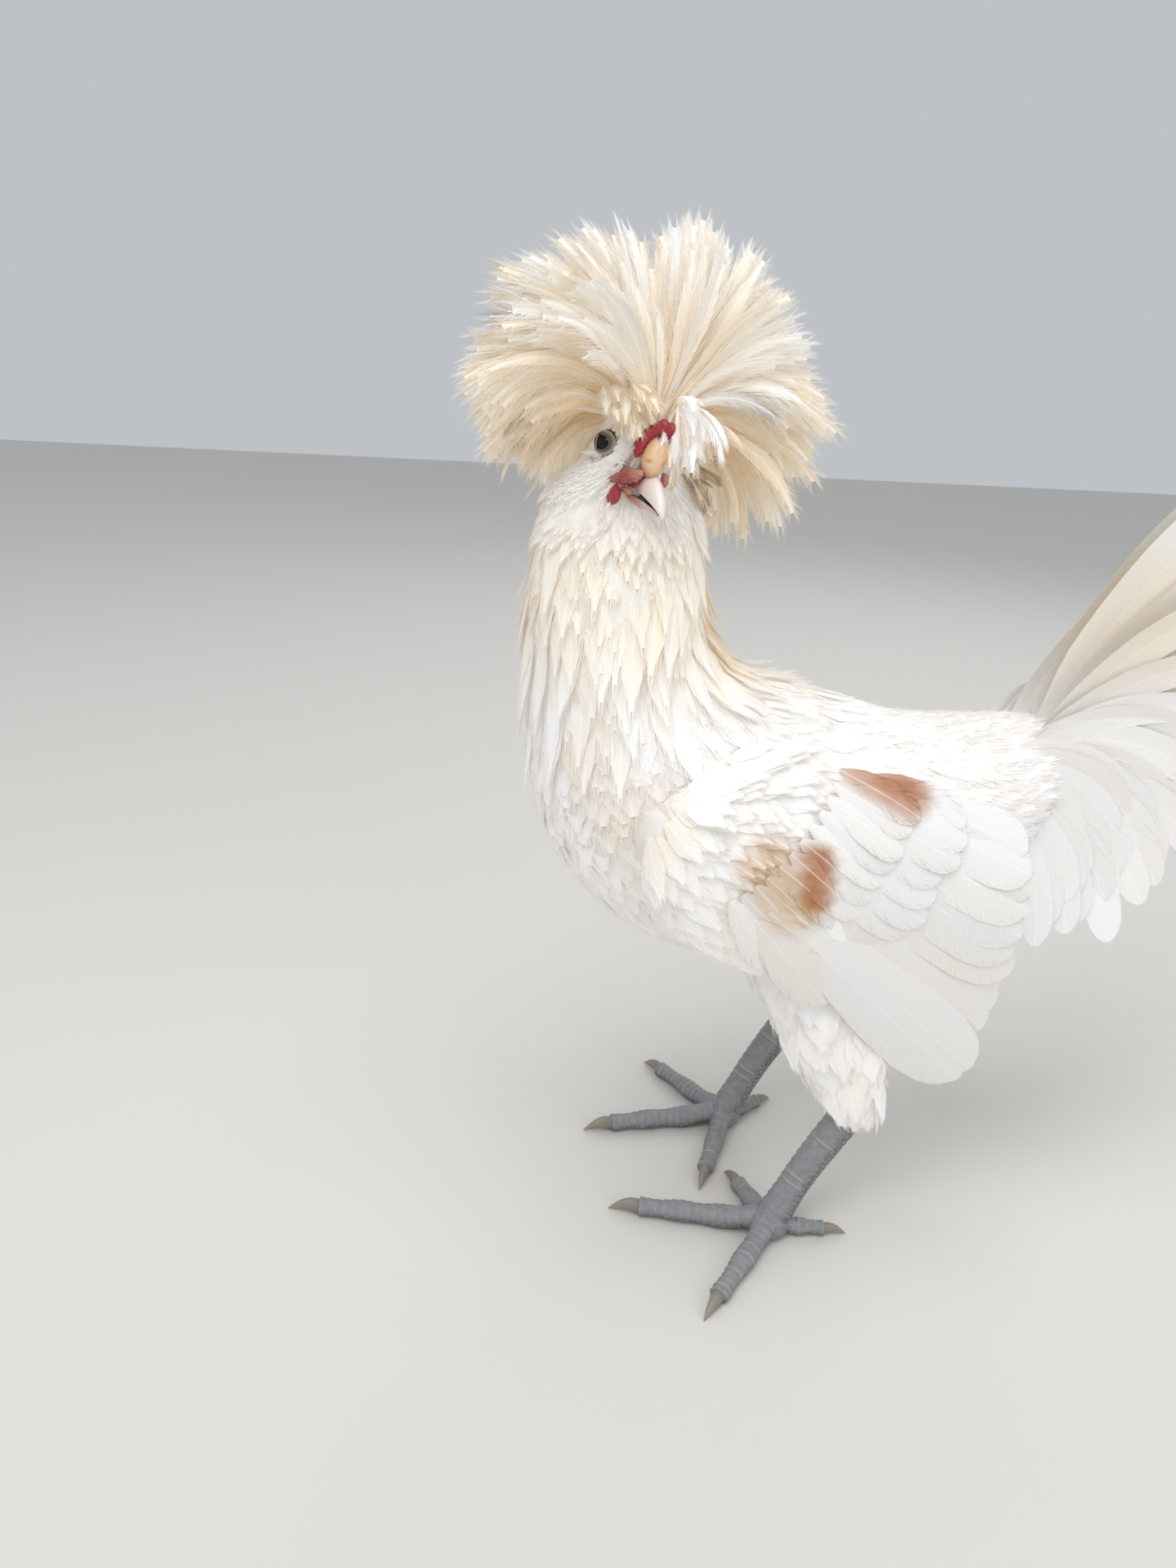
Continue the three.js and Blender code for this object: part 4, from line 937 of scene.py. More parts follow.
# count, first and last root (section, degrees), lift, slopes, lengths, widths
WING_ROWS = [
    (7, (4.35, 70), (3.8, 84), 8.0, (-42, -36), (122, 80), (22, 20)),
    (12, (4.5, 72), (3.7, 120), 10.5, (-40, -22), (140, 62), (34, 24)),
    (12, (4.9, 73), (4.1, 124), 12.8, (-41, -24), (66, 48), (25, 19)),
    (12, (5.2, 76), (4.5, 124), 14.2, (-40, -28), (46, 40), (20, 16)),
]


def wing_row(row, side):
    """One row of the wing: root, heading, curl, length, width and bake place of each feather."""
    count, first, last, lift, slopes, lengths, widths = WING_ROWS[row]
    share = np.linspace(0, 1, count)
    soon = share**0.75
    k, degrees = blend((first[0], last[0]), share), blend((first[1], last[1]), share)
    root = wing_point(side, k, degrees, lift)
    rise = unit(wing_point(side, k, degrees + 4, lift) - root)
    slope = np.radians(blend(slopes, soon) + rng.normal(0, 1.4, count))[:, None]
    heading = REAR * np.cos(slope) + rise * np.sin(slope)
    inward = np.array([-side, 0, 0]) + rise * (rise[:, :1] * side)
    length = blend(lengths, soon) * rng.normal(1, 0.03, count)
    patch = np.stack([0.66 + 0.1 * share, 0.52 + 0.03 * row + (0.22 if side > 0 else 0) + 0 * share], -1)
    return root, heading, inward, length, blend(widths, share), patch


def lesser_coverts(word, side):
    """Small feathers over the bend of the wing, in staggered rows."""
    rows, per, step = 16, 14, 0.01
    along, b = np.meshgrid(np.linspace(0.0, 0.66, rows), np.linspace(-0.97, 0.97, per), indexing="ij")
    along = np.clip(along + rng.uniform(-0.02, 0.02, along.shape), 0, 1).ravel()
    b = b + (0.5 * (np.arange(rows)[:, None] % 2) - 0.25) * 2 / per + rng.uniform(-0.03, 0.03, b.shape)
    b = np.clip(b, -0.98, 0.98).ravel()
    shell = lambda by_along, by_b: wing_shell(side, along + by_along, b + by_b, 3.2)
    normal = unit(np.cross(unit(shell(step, 0) - shell(-step, 0)), unit(shell(0, step) - shell(0, -step))))
    normal = normal * np.sign(normal[:, :1] * side)
    slope = np.radians(-38 + 16 * (b + 1) / 2 + rng.normal(0, 5, len(b)))
    way = steered(normal, 0 * normal, np.stack([0 * b, np.cos(slope), np.sin(slope)], -1))
    lift = np.radians(10)
    heading = way * np.cos(lift) + normal * np.sin(lift)
    patch = np.stack([0.8 + 0.15 * along, 0.52 + (0.22 if side > 0 else 0) + 0.09 * (b + 1)], -1)
    length = np.interp(along, [0, 0.66], [22, 34]) * rng.normal(1, 0.08, len(b))
    return coat(f"wing_lesser_{word}", VANE, contour, (shell(0, 0), heading, -normal), patch, length=length,
                width=np.interp(along, [0, 0.66], [12, 17]), bend=20, roll=rng.normal(0, 4, len(b)))


def wing_feathers(word, side):
    """Flights and coverts in rows, as the solids set them, and lesser coverts over the bend of the wing."""
    laid = [wing_row(row, side) for row in range(len(WING_ROWS))]
    for kind, template, bend, rows in (("flight", flight, 11, laid[:2]), ("covert", covert, 14, laid[2:])):
        root, heading, inward, length, width, patch = (np.concatenate(n) for n in zip(*rows))
        obj = coat(f"wing_{kind}s_{word}", FLIGHT, template, (root, heading, inward), patch,
                   length=length, width=width, bend=bend, roll=-7 * side + rng.normal(0, 2.5, len(root)))
        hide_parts(f"wing_{word}")
    obj = lesser_coverts(word, side)
    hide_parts(f"wing_{word}")


for word, side in SIDES.items():
    wing_feathers(word, side)

# ---------------------------------------------------------------- tail

UPRIGHT = 90  # the roll that stands a tail feather on edge
# climb, length, width, bend, out, back
SICKLES = [(62, 212, 20, 74, 12, 112), (50, 168, 18, 78, 15, 108), (38, 140, 17, 76, 18, 104)]
# climbs, lengths, how far out, how far back, count
TAIL_COVERTS = [((46, -40), (108, 76), (13, 23), 110, 11), ((30, -52), (88, 66), (17, 27), 100, 11),
                ((14, -60), (74, 58), (22, 31), 90, 10)]


def tail_feather(side, root, spread, climb, *sizes):
    """One feather of the tail: root, heading and curl, then length, width, bend and roll as given."""
    out, back, up = root
    cos, sin = np.cos(np.radians(climb)), np.sin(np.radians(climb))
    return [side * out, back, up], [side * spread, cos, sin], [0, sin, -cos], *sizes


def tail_fan(side):
    """Seven broad feathers of one side, from the steepest to the lowest."""
    for share, astray in zip(np.linspace(0, 1, 7), rng.normal(0, 1.2, 7)):
        yield tail_feather(side, (2.5 + 14.5 * share, 116, 231 - 17 * share), 0.03 + 0.13 * share,
                           blend((67, 4), share) + astray,
                           188 - 60 * share, 31 - 6 * share, 36 - 14 * share, UPRIGHT + 4 * side)


def tail_sickles(side):
    """The long curved feathers of one side."""
    for climb, long, wide, arc, out, back in SICKLES:
        yield tail_feather(side, (out, back, 228), 0.12, climb, long, wide, arc, UPRIGHT + 4 * side)


def tail_cover(side):
    """The rows of coverts of one side, each lower and further ahead."""
    for row, (climbs, lengths, outs, back, count) in enumerate(TAIL_COVERTS):
        for share in np.linspace(0, 1, count):
            root = (blend(outs, share), back, 232 - 26 * share - 2 * row)
            climb = blend(climbs, share) + rng.normal(0, 3)
            length = blend(lengths, share) * rng.normal(1, 0.06)
            yield tail_feather(side, root, 0.14 + 0.18 * share, climb, length, 22 - 2 * row, 62 - 24 * share,
                               UPRIGHT + 6 * side + rng.normal(0, 4))


def tail_piece(name, template, side_feathers, step, edge):
    """One piece of the tail, and its feathers' places on the bake map: `step` apart at an `edge`."""
    rows = [feather for side in SIDES.values() for feather in side_feathers(side)]
    root, heading, curl, length, width, bend, roll = (np.array(n, float) for n in zip(*rows))
    patch = np.stack([0.66 + step * np.arange(len(root)), np.full(len(root), edge)], -1)
    obj = coat(name, FLIGHT, template, (root, heading, curl), patch,
               length=length, width=width, bend=bend, roll=roll)
    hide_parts("tail")


tail_piece("tail_feathers", rectrix, tail_fan, 0.02, 0.97)
tail_piece("sickle_feathers", sickle, tail_sickles, 0.02, 0.985)
tail_piece("tail_coverts", covert, tail_cover, 0.004, 0.955)

# ---------------------------------------------------------------- crest

GOLDEN_ANGLE = 137.508
CREST_COUNT, CREST_SEED, LOCKS, CREST_PIECES = 1120, 21, 60, 4
FOREHEAD_COUNT, FOREHEAD_SEED = 150, 31
# how far round a front feather fans, in degrees to the left, and its length there
CREST_FAN = [-110, -85, -60, -35, -12, 10, 30, 60, 85, 110]
CREST_FAN_LENGTH = [36, 58, 74, 74, 64, 70, 72, 77, 77, 62]


def crest_feathers():
    """Roots on the skull's knob and ways that radiate from it. Those of the front are laid back into the
    level across the head, so that they fan up and out from the brow and hide the crown, and each way is
    drawn a third of the way to the nearest of the crest's locks."""
    draw = np.random.default_rng(CREST_SEED)
    n = np.arange(CREST_COUNT) + 0.5
    up = 1 - 1.42 * n / CREST_COUNT
    around = np.radians(n * GOLDEN_ANGLE)
    level = np.sqrt(1 - up**2)
    way = np.stack([level * np.cos(around), level * np.sin(around), up], -1)
    way = unit(way + draw.normal(0, 0.07, way.shape))
    ahead, left, up = way.T
    way = way[up > np.interp(ahead, [-0.3, 0.1, 0.5, 1], [-0.45, 0.0, 0.22, 0.3])]
    ahead, left, up = way.T
    count = len(way)
    root = on_head(*(np.array(SKULL["middle"]) + way * SKULL["radii"]).T)
    front = blur(ahead, -0.15, 0.45)
    fan = np.arctan2(left, up + 0.25 * front)
    flat = np.stack([0.08 + 0.28 * ahead, np.sin(0.86 * fan), np.cos(0.86 * fan)], -1)
    heading = way + (unit(flat) - way) * front[:, None]
    locks = unit(draw.normal(0, 1, (LOCKS, 3)))
    heading = unit(heading)
    nearest = np.argmax(heading @ locks.T, axis=1)
    heading = unit(heading * 0.66 + locks[nearest] * 0.34 + draw.normal(0, 0.07, heading.shape))
    side = np.abs(np.sin(fan))
    length = np.interp(up, [-0.4, 0.1, 0.6, 1], [52, 64, 62, 56])
    length = length + (np.interp(np.degrees(fan), CREST_FAN, CREST_FAN_LENGTH) - length) * front
    length = length * draw.uniform(0.88, 1.08, LOCKS)[nearest] * (1.03 - 0.4 * draw.random(count) ** 2)
    right = blur(-left, 0.2, 0.8) * (1 - front) * blur(-up, -0.6, 0.1)
    length = length * (1 - 0.28 * right)
    bend = np.interp(up, [-0.4, 0.3, 0.8, 1], [74, 88, 72, 60]) * (1 - 0.2 * right)
    bend = (bend + (38 + 50 * side - bend) * front) * draw.uniform(0.85, 1.15, LOCKS)[nearest]
    bend = bend * draw.uniform(0.88, 1.12, count)
    curl = np.stack([-0.9 * (1 - side) * front, 0 * side, -0.25 - side * front - (1 - front)], -1)
    curl = curl + 0.14 * draw.normal(0, 1, curl.shape)
    upper_way = way + (np.array([1.0, 0, 0.3]) - way) * front[:, None]
    roll = facing(heading, curl, upper_way) + draw.normal(0, 24, count)
    around = np.arctan2(left, ahead) / FULL_TURN % 1
    patch = np.stack([0.66 + 0.32 * around, 0.3 + 0.2 * (up + 0.5) / 1.5], -1)
    low = blur(np.abs(np.degrees(fan)) * front + 60 * (1 - front), 35, 95)
    return [root, heading @ FACE, curl @ FACE, patch], dict(length=length, bend=bend, roll=roll), low


def crest():
    """The crest's feathers: whitest on top, buff below, a few of them grey-brown, and cream and tan
    towards their roots as painted shade in the crest's depth.
    """
    places, sizes, low = crest_feathers()
    count = len(low)
    t = plume["points"][:, 0]
    # painted shade: the terms in (1 - t) turn each feather cream and tan towards its root, in the crest's
    # depth
    cream = np.clip(0.16 + 0.5 * low + rng.normal(0, 0.12, count), 0, 1)[:, None] + 0.5 * (1 - t)
    dark = np.where(rng.random(count) < 0.025, 0.55, 0.0)[:, None] * t
    rust = (0.03 + 0.1 * low)[:, None] * (1.1 - t) ** 1.5
    marks = tints(cream, rust, dark, rng.random(count)[:, None])
    sizes["width"] = 17 * rng.normal(1, 0.18, count)
    for part in range(CREST_PIECES):
        pick = slice(part, None, CREST_PIECES)
        *ways, patch = (n[pick] for n in places)
        obj = coat(f"crest_feathers_{part + 1}", PLUME, plume, ways, patch, slot="crest", marks=marks[pick],
                   **{name: size[pick] for name, size in sizes.items()})
        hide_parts("crest")


crest()


def tuft(name, template, count, middle, spread, way, curl, length, width, bend, cream, slot="crest",
         dark=0.0):
    """A few loose feathers: roots about a place on the head, one way with a little stray, and a colour."""
    root = on_head(*(np.array(middle)[:, None] + rng.normal(0, 1, (3, count)) * np.array(spread)[:, None]))
    heading = unit(way + rng.normal(0, 0.22, (count, 3))) @ FACE
    curled = np.broadcast_to(np.array(curl, float) @ FACE, (count, 3))
    patch = np.stack([0.9 + 0.03 * rng.random(count), 0.9 + 0.03 * rng.random(count)], -1)
    t = template["points"][:, 0]
    tone = rng.random((count, 1))
    buff = cream + rng.normal(0, 0.1, (count, 1)) + 0 * t
    stripe = dark * (0.5 + 0.5 * np.sin(t * 14 + 3 * tone))
    obj = coat(name, PLUME, template, (root, heading, curled), patch, slot=slot,
               marks=tints(buff, 0.25 * dark, stripe, tone), length=length * rng.uniform(0.75, 1.1, count),
               width=width, bend=bend, roll=rng.normal(0, 30, count))
    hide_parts("crest")


# Brows that hang between each eye and the comb, a white tuft over the left eye, and barred ones behind it:
# count, middle, spread, way, curl, length, width, bend, cream.
tuft("brow_feathers_right", plume, 34, (10.5, -12.5, 18), (2.2, 3, 2), (0.7, 0.06, 0.2), (-0.3, 0.1, -1),
     21, 10, 86, 0.5, dark=0.1)
tuft("brow_feathers_left", plume, 16, (9, 14, 14), (3, 3.5, 2.5), (0.8, 0.1, 0.1), (-0.3, 0.2, -1),
     27, 11, 75, 0.6, dark=0.1)
tuft("white_tuft", plume, 11, (17, 8.2, 17.5), (0.8, 0.8, 1), (0.62, -0.04, 0.05), (0, 0.05, -1),
     34, 10.5, 98, 0.0)
tuft("barred_feathers", plume, 14, (12, 12, -3), (2.5, 1, 2.5), (0.1, 1, 0.05), (-0.3, 0, -1),
     24, 9, 40, 0.8, dark=0.8)


def forehead():
    """Plumes rooted behind the comb and between the brows, that stand up and lean back over the crest."""
    draw = np.random.default_rng(FOREHEAD_SEED)
    count = FOREHEAD_COUNT
    up = 8 + 11 * draw.random(count)
    left = draw.uniform(-1, 1, count) * np.interp(up, [3, 10, 18], [4, 9, 12])
    root = on_head(np.interp(up, [3, 8, 14, 18], [19, 17.5, 14, 9]) - 0.05 * left**2, left, up)
    fan = np.radians(4.5 * left + draw.normal(0, 6, count))
    heading = np.stack([0.05 + 0 * fan, np.sin(fan), np.cos(fan)], -1)
    curl = np.stack([-1 + 0 * fan, 0.5 * np.sin(fan), -0.25 + 0 * fan], -1)
    roll = facing(heading, curl, np.array([1.0, 0, 0.3])) + draw.normal(0, 20, count)
    patch = np.stack([0.84 + 0.002 * left, 0.42 + 0.003 * up], -1)
    length = np.interp(up, [3, 10, 18], [40, 52, 62]) * draw.uniform(0.75, 1.08, count)
    t = plume["points"][:, 0]
    # painted shade: the terms in (1 - t) turn each feather cream and tan towards its root, in the crest's
    # depth
    cream = np.clip(0.35 + draw.normal(0, 0.18, count), 0, 1)[:, None] + 0.5 * (1 - t)
    marks = tints(cream, 0.12 * (1 - t), 0, draw.random((count, 1)))
    obj = coat("crest_forehead", PLUME, plume, (root, heading @ FACE, curl @ FACE), patch, slot="crest",
               marks=marks, length=length, width=12 * draw.normal(1, 0.15, count),
               bend=np.interp(up, [3, 18], [24, 40]), roll=roll)
    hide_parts("crest")


forehead()

# ---------------------------------------------------------------- head

LID_HALF_WIDTH = 1.5


def eyeball(word, side):
    """A ball, a little flat, whose marks carry the angle from where it looks."""
    axes = np.array([FACE[0], FACE[2] * side, FACE[1] * side])
    points, faces = ball(eye_middle(side), np.array([1, 1, 0.88]) * EYE["radius"], axes, 40, 56)
    gaze = unit(FACE[1] * side * 0.8 + FACE[0] * 0.6)
    look = (unit((points - eye_middle(side)) / EYE["radius"]) * gaze).sum(1)
    marks = columns(np.arccos(np.clip(look, -1, 1)) / (np.pi / 2))
    eye = make_mesh(f"eyeball_{word}", points, outward(points, faces), WET_EYE, marks=marks)
    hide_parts(f"eye_{word}")


def eyelids(word, side):
    """A thin, creased ring swept round the eye where it leaves the face, drawn out fore and aft."""
    axis = unit(FACE[1] * side * 0.88 + FACE[0] * 0.47)
    rise = square_to(FACE[2], axis)
    level = np.cross(rise, axis)
    turn, tube = ring_angles(72)[:, None], ring_angles(12)[None]
    lean = np.radians(51) + 0.1 * np.cos(2 * turn)
    thick = 0.24 + 0.06 * np.sin(11 * turn) * np.cos(tube)
    over, across = EYE["radius"] + thick * np.sin(tube), LID_HALF_WIDTH * np.cos(tube)
    reach = over * np.sin(lean) + across * np.cos(lean)
    out = over * np.cos(lean) - across * np.sin(lean)
    ring = eye_middle(side) + level * (reach * np.cos(turn))[..., None]
    ring = ring + rise * (reach * np.sin(turn) * 0.98)[..., None] + axis * out[..., None]
    points = ring.reshape(-1, 3)
    faces = outward(points, ring_quads(72, 12, wrap=True))
    marks = columns(0.35, 0, (0.45 + 0.5 * blur(-np.cos(tube), -0.6, 0.4) + 0 * turn).ravel())
    lid = make_mesh(f"eyelids_{word}", points, faces, SKIN, marks=marks)


for word, side in SIDES.items():
    eyeball(word, side)
    eyelids(word, side)


def beak(name, table, way, replaced):
    """Half a beak: each section a half ellipse with a low ridge on its back and a thin rim at the mouth."""
    ahead, up, half, deep = smooth_rows(table, np.linspace(0, len(table) - 1, 40)).T[..., None]
    angle = np.linspace(0, np.pi, 25)[None]
    ridge = 1 + 0.06 * np.exp(-(((angle - np.pi / 2) / 0.28) ** 2))
    lift = np.sin(angle) ** 0.9 * deep * ridge
    arc = on_head(ahead + 0 * angle, np.cos(angle) * half * (1 + 0.05 * np.sin(angle)), up + way * lift)
    floor_out = np.linspace(-1, 1, 13)[None, 1:-1] * half
    floor = on_head(ahead + 0 * floor_out, floor_out, up + way * 0.9 * (1 - (floor_out / half) ** 2))
    points, faces = loft(np.concatenate([arc, floor], 1))
    marks = np.zeros((len(points), 4))
    rows, per = len(ahead), arc.shape[1] + floor.shape[1]
    ahead = ahead.ravel()
    marks[:-2, 0] = np.repeat(np.linspace(0, 1, rows) ** 0.6, per) * (1 if way > 0 else 0.2)
    marks[:-2, 1] = np.repeat(1 - blur(ahead, 23, 29), per) * (0.85 if way > 0 else 0.6)
    # painted shadow: the beak's inner floor goes near black towards the mouth's shaded slit, fading from 27 to
    # 36 mm ahead
    marks[:-2, 2] = np.tile(np.arange(per) >= arc.shape[1], rows) * np.repeat(1 - blur(ahead, 27, 36), per)
    marks[-1, 0] = 1
    obj = make_mesh(name, points, faces, BEAK_HORN, marks=marks, sharp=60)
    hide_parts(replaced)


beak("bill_upper", UPPER_BEAK, 1, "beak_upper")
beak("bill_lower", LOWER_BEAK, -1, "beak_lower")


def knob():
    """The raised nostrils: an egg that leans back over the beak's root, pinched along its middle, with a
    slit dented in each side."""
    points, faces = ball(rows=40, sides=48)
    x, y, z = points.T
    pinch = 1 - 0.1 * np.exp(-((y / 0.22) ** 2)) * np.clip(z + 0.2, 0, 1)
    slit = sum(np.exp(-(((x - 0.55) / 0.32) ** 2 + ((y - s * 0.72) / 0.3) ** 2 + ((z + 0.25) / 0.1) ** 2))
               for s in (1, -1))
    ahead, left, up = (points * (pinch * (1 - 0.16 * slit))[:, None] * np.array(KNOB["radii"])).T
    placed = on_head(KNOB["ahead"] + ahead - 0.25 * up, KNOB["left"] + left + 0.12 * up, KNOB["up"] + up)
    marks = columns(np.clip(0.6 + 0.5 * x - 1.2 * slit, 0, 1), 0.6 * blur(-z - 0.6 * x, 0.1, 0.8))
    obj = make_mesh("nostril_knob", placed, outward(placed, faces), NOSTRIL_SKIN, marks=marks)
    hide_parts("beak_upper")


knob()


def comb():
    """The comb: a fleshy, pimpled arch behind the knob, a little higher on its left, and two short horns."""
    past = 0.25  # how far the arch runs on below its half turn
    sweep = np.linspace(-past, np.pi + past, 60)[:, None]
    tube = ring_angles(18)[None]
    taper = np.sin(np.clip((sweep + past) / (np.pi + 2 * past), 0.02, 0.98) * np.pi) ** 0.3
    pimples = 1 + 0.14 * np.sin(14 * sweep) * (np.cos(tube) > 0) + 0.08 * np.sin(23 * sweep + 3 * tube)
    thick = COMB["thick"] * taper * pimples
    out = COMB["arch"] + thick * np.cos(tube)
    up = COMB["up"] + np.sin(sweep) * out * 1.12 + 0.22 * np.cos(sweep) * out
    ahead = COMB["ahead"] + thick * 1.3 * np.sin(tube)
    shells = [loft(on_head(ahead, COMB["left"] + np.cos(sweep) * out, up))]
    for side in SIDES.values():
        t = np.linspace(0, 1, 16)[:, None]
        radius = COMB_HORN["radius"] * np.sqrt(np.maximum(1 - t**2, 0.002))
        ahead, left, up = (blend(ends, t) for ends in zip(COMB_HORN["root"], COMB_HORN["tip"]))
        ring = on_head(ahead, side * left, up) + FACE[0] * (radius * np.cos(tube))[..., None]
        shells.append(loft(ring + FACE[1] * (radius * np.sin(tube))[..., None]))
    obj = make_mesh("comb_flesh", *together(*shells), COMB_FLESH)
    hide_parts("comb")


comb()


def wattle(word, side):
    """A hanging fold: a flattened drop, fullest at its lower edge, with shallow creases."""
    points, faces = ball(rows=30, sides=36)
    x, y, z = points.T
    full = 1 - 0.42 * blur(z, -0.4, 1.0)
    crease = 1 + 0.07 * np.sin(9 * x + 3 * z) + 0.05 * np.sin(17 * z + 5 * x)
    ahead, left, up = x * 4.8 * full * crease, y * 2.4 * full, z * 4.0
    placed = on_head(13 + ahead, side * 9 + left, -18 + up + 0.25 * ahead)
    obj = make_mesh(f"wattle_flesh_{word}", placed, outward(placed, faces), COMB_FLESH)
    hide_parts(f"wattle_{word}")


def gape(word, side):
    """Bare skin from below the eye to the nostrils and round the mouth's corner: a long low swelling with
    folds, and a small buff lip."""
    points, faces = ball(rows=50, sides=52)
    x, y, z = points.T
    folds = 1 + 0.22 * np.sin(6 * x + 8 * z) ** 2 - 0.16 * np.sin(17 * x - 7 * z) * np.cos(9 * z)
    folds = folds + 0.09 * np.sin(31 * x + 9 * z) * np.sin(27 * z - 8 * x + 5 * y)
    ahead, left, up = x * 11.5, y * 2.7 * folds, z * (2.1 + 1.3 * x) * folds
    placed = on_head(15.5 + ahead, side * (7.2 - 0.2 * ahead) + left, -11.2 + up + 0.26 * ahead)
    marks = columns(1, np.clip(0.75 + 0.3 * np.sin(5 * x) - 0.3 * z, 0, 1))
    obj = make_mesh(f"gape_skin_{word}", placed, outward(placed, faces), SKIN, marks=marks)
    corner, faces = ball(on_head(16.5, side * 5.6, -15.6), (5.4, 1.5, 1.4), FACE, rows=16, sides=20)
    marks = np.tile([0.3, 0.6, 0, 0], (len(corner), 1))
    obj = make_mesh(f"mouth_corner_{word}", corner, faces, NOSTRIL_SKIN, marks=marks)


for word, side in SIDES.items():
    wattle(word, side)
    gape(word, side)
    tuft(f"lore_down_{word}", down, 60, (7, side * 10.5, -7), (5, 1.2, 2.2), (-0.35, side * 0.5, 0.1),
         (-1, 0, -0.5), 9, 5, 60, 0.05, slot="plumage")

# ---------------------------------------------------------------- feet


def limb(path, sizes, scutes, upward, step=0.5, per=7, sides=28, floor=None, ends=0.5):
    """A scuted limb along a path: each scute rises to its far edge and drops to the next.

    path and sizes are functions of the share along it, upward the side that carries the scutes, and ends how
    far its first and last rings close.
    """
    share = np.linspace(0, 1, scutes * per + 1)
    within = (share * scutes) % 1
    middle = path(share)
    way = unit(np.gradient(middle, axis=0))
    sideways = unit(np.cross(way, upward))
    top = np.cross(sideways, way)
    angle = ring_angles(sides)
    upper = blur(np.sin(angle), -0.25, 0.25)
    relief = step * (within**1.5)[:, None] * upper - 0.35 * step * np.exp(-((within / 0.1) ** 2))[:, None]
    close = np.ones((len(share), 1))
    close[[0, -1]] = ends
    wide, tall = (sizes(share)[:, n : n + 1] for n in (0, 1))
    wide, tall = ((size + relief) * close for size in (wide, tall))
    rings = middle[:, None] + sideways[:, None] * (wide * np.cos(angle))[..., None]
    rings = rings + top[:, None] * (tall * np.sin(angle))[..., None]
    if floor is not None:
        rings[..., 2] = np.maximum(rings[..., 2], floor)
    points, faces = loft(rings)
    marks = np.zeros((len(points), 4))
    marks[:-2, 0] = np.repeat(within, sides)
    marks[:-2, 1] = np.tile(upper, len(share))
    return points, faces, marks


def smooth_path(*points):
    """A smooth path through a few places, as a function of the share along it."""
    fine = smooth_rows(np.array(points, float), np.linspace(0, len(points) - 1, 80))
    run = np.concatenate([[0], np.cumsum(np.linalg.norm(np.diff(fine, axis=0), axis=1))])
    return lambda share: np.stack([np.interp(share * run[-1], run, field) for field in fine.T], -1)


def shank_piece(word, leg, centre):
    """The bare leg from the cuff to the ankle, and the pad that joins the toes."""
    cuff, ankle = leg_points(leg)
    path = smooth_path(cuff + 4 * unit(cuff - ankle), ankle + 0.45 * (cuff - ankle), ankle + [0, 1, -4])
    widths, depths = [6.6, 6.2, 7.6], [8.6, 7.4, 8.0]
    sizes = lambda s: np.stack([np.interp(s, [0, 0.75, 1], half) for half in (widths, depths)], -1)
    shank_points, shank_faces, shank_marks = limb(path, sizes, 17, -REAR)
    pad, pad_faces = ball(centre + [0, -1, 6.5], (9.4, 10.2, 8.4), rows=20, sides=32)
    pad[:, 2] = np.maximum(pad[:, 2], 0)
    marks = np.concatenate([shank_marks, np.tile([0.5, 0.6, 0, 0], (len(pad), 1))])
    shells = together((shank_points, shank_faces), (pad, pad_faces))
    shank = make_mesh(f"shank_scutes_{word}", *shells, SCUTES, marks=marks)
    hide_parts(f"shank_{word}")


def toe_piece(name, word, start, ahead, length):
    """A scuted toe, thicker at its knuckles."""
    half = TOE_HALF[name]
    at = lambda share, z: start + ahead * length * share + [0, 0, z]
    path = smooth_path(at(0, 9 if name == "hind" else 8), at(0.3, half * 0.98), at(0.65, half * 0.9),
                       at(1, half * 0.72))
    knuckles = 3 if name == "middle" else 2
    size = lambda s: half * (1.08 - 0.3 * s) + 0.35 * np.cos(s * 2 * np.pi * knuckles)
    sizes = lambda s: np.stack([size(s), size(s) * 0.92], -1)
    points, faces, marks = limb(path, sizes, TOE_SCUTES[name], UP, step=0.4, floor=0.0, ends=0.75)
    toe = make_mesh(f"toe_scutes_{name}_{word}", points, faces, SCUTES, marks=marks)
    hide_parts(f"toe_{name}_{word}")


def claw_piece(name, word, start, ahead, length):
    """A claw that leaves the toe's end 1.5 mm inside it, rises a little and curves down to its point."""
    half, overlap = TOE_HALF[name], 1.5
    s, turn = np.linspace(0, 1, 26)[:, None], ring_angles(20)[None]
    widths, depths = [0.62, 0.5, 0.3, 0.04], [0.6, 0.62, 0.44, 0.06]
    wide, tall = (half * np.interp(s, [0, 0.35, 0.7, 1], n) for n in (widths, depths))
    height = half * (0.72 + 0.22 * np.sin(np.pi * s) - 0.62 * s**2)
    middle = start + ahead * (length - overlap + s * (CLAW_LENGTH[name] + overlap))
    rings = middle[:, None] + np.cross(ahead, UP) * (wide * np.cos(turn))[..., None]
    rings = rings + UP * (height + tall * np.sin(turn))[..., None]
    rings[..., 2] = np.maximum(rings[..., 2], 0.0)
    points, faces = loft(rings)
    marks = np.zeros((len(points), 4))
    marks[:-2, 0] = np.repeat(s.ravel(), 20)
    marks[-1, 0] = 1
    nail = make_mesh(f"nail_{name}_{word}", points, faces, CLAW_HORN, marks=marks)
    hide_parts(f"claw_{name}_{word}")


def foot(word, leg):
    """The shank, then each toe with its claw, four millimetres out from the foot's middle."""
    centre = np.array([*leg["foot"], 0.0])
    shank_piece(word, leg, centre)
    for name, (length, way) in leg["toes"].items():
        angle = np.radians(way)
        ahead = np.array([np.sin(angle), -np.cos(angle), 0])
        toe_piece(name, word, centre + 4 * ahead, ahead, length)
        claw_piece(name, word, centre + 4 * ahead, ahead, length)


for word, leg in LEGS.items():
    foot(word, leg)

# ---------------------------------------------------------------- floor, light and camera

FLOOR_HALF = 4.0
AIM = Vector((0, 0, 0.25))
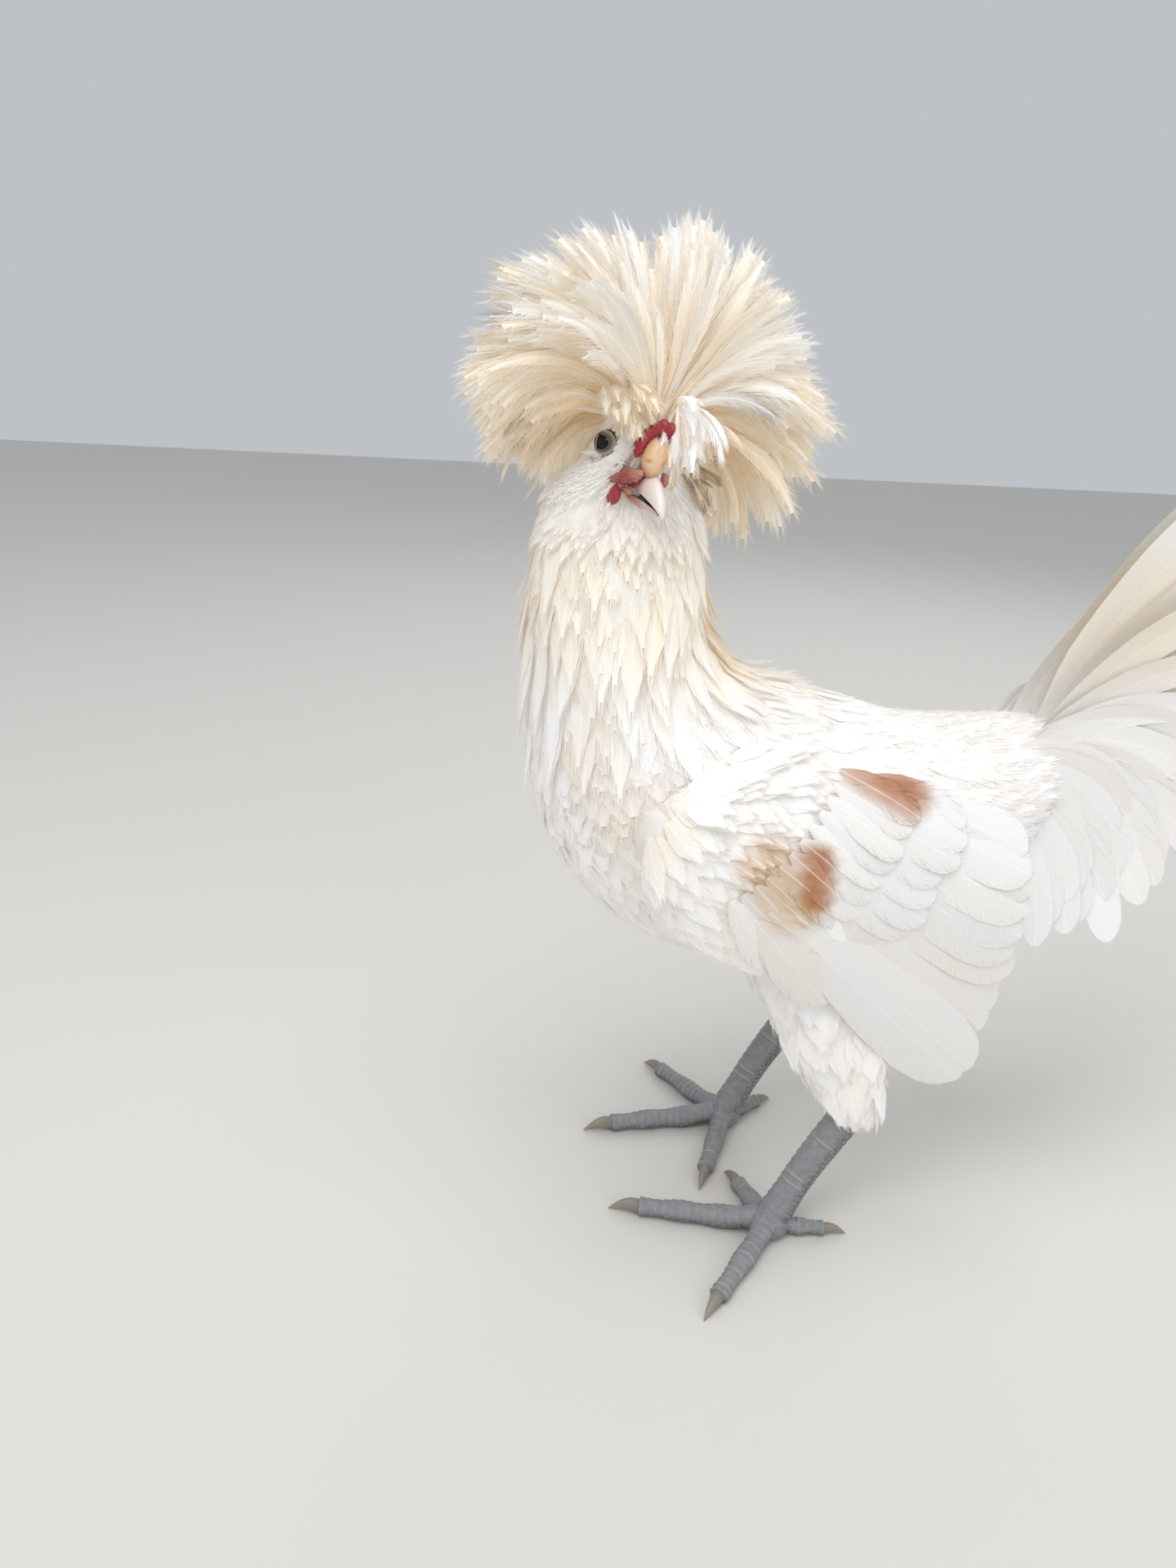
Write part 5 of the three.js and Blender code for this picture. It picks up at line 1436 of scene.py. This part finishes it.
# place, power, width
LAMPS = {
    "key": ((0.9, -1.0, 1.6), 10.5, 1.0),
    "fill": ((1.6, 0.7, 0.8), 6.5, 1.4),
    "back": ((-1.2, 0.9, 1.4), 6, 1.0),
    "top": ((0.2, -0.2, 1.7), 8, 0.8),
}
# The photo's camera, fitted to the pose: its place in the solids' millimetres, and in degrees its heading
# from the bird's left towards its back, its tilt below the level and its roll.
CAMERA = dict(place=(448.7, -218.6, 380.0), heading=165.0, tilt=20.2, roll=4.0, sensor_height=36, lens=26.25)


def add_object(name, data):
    """An object in the scene."""
    made = bpy.data.objects.new(name, data)
    bpy.context.scene.collection.objects.link(made)
    return made


def camera_matrix():
    """Where the photo's camera stands and how it is turned."""
    heading, tilt, roll = np.radians([CAMERA[n] for n in ("heading", "tilt", "roll")])
    forward = np.array([np.cos(heading) * np.cos(tilt), np.sin(heading) * np.cos(tilt), -np.sin(tilt)])
    level = np.array([np.sin(heading), -np.cos(heading), 0])
    right = level * np.cos(roll) + np.cross(level, forward) * np.sin(roll)
    turn = Matrix([list(right), list(np.cross(right, forward)), list(-forward)]).transposed().to_4x4()
    return Matrix.Translation(Vector((np.array(CAMERA["place"]) + SHIFT) * MM)) @ turn


def studio():
    """A pale, flat floor, soft light from all round and above, and the photo's camera."""
    mesh = bpy.data.meshes.new("studio_floor")
    corners = [(x * FLOOR_HALF, y * FLOOR_HALF, 0) for x, y in ((-1, -1), (1, -1), (1, 1), (-1, 1))]
    mesh.from_pydata(corners, [], [(0, 1, 2, 3)])
    mesh.materials.append(Look("pale studio floor", 0.8).done("#d9d6d0"))
    floor = add_object("studio_floor", mesh)
    world = bpy.data.worlds.new("studio")
    world.use_nodes = True
    sky = world.node_tree.nodes["Background"].inputs
    sky["Color"].default_value, sky["Strength"].default_value = linear("#dfe3e8"), 0.7
    bpy.context.scene.world = world
    for name, (place, power, width) in LAMPS.items():
        light = bpy.data.lights.new(name, "AREA")
        light.energy, light.size = power, width
        lamp = add_object(name, light)
        lamp.location = place
        lamp.rotation_euler = (AIM - Vector(place)).to_track_quat("-Z", "Y").to_euler()
    lens = bpy.data.cameras.new("photo_camera")
    lens.sensor_fit, lens.sensor_height, lens.lens = "VERTICAL", CAMERA["sensor_height"], CAMERA["lens"]
    lens.clip_start, lens.clip_end = 0.02, 20
    camera = add_object("photo_camera", lens)
    camera.matrix_world = camera_matrix()
    bpy.context.scene.camera = camera
    bpy.context.scene.view_settings.view_transform = "Standard"


studio()
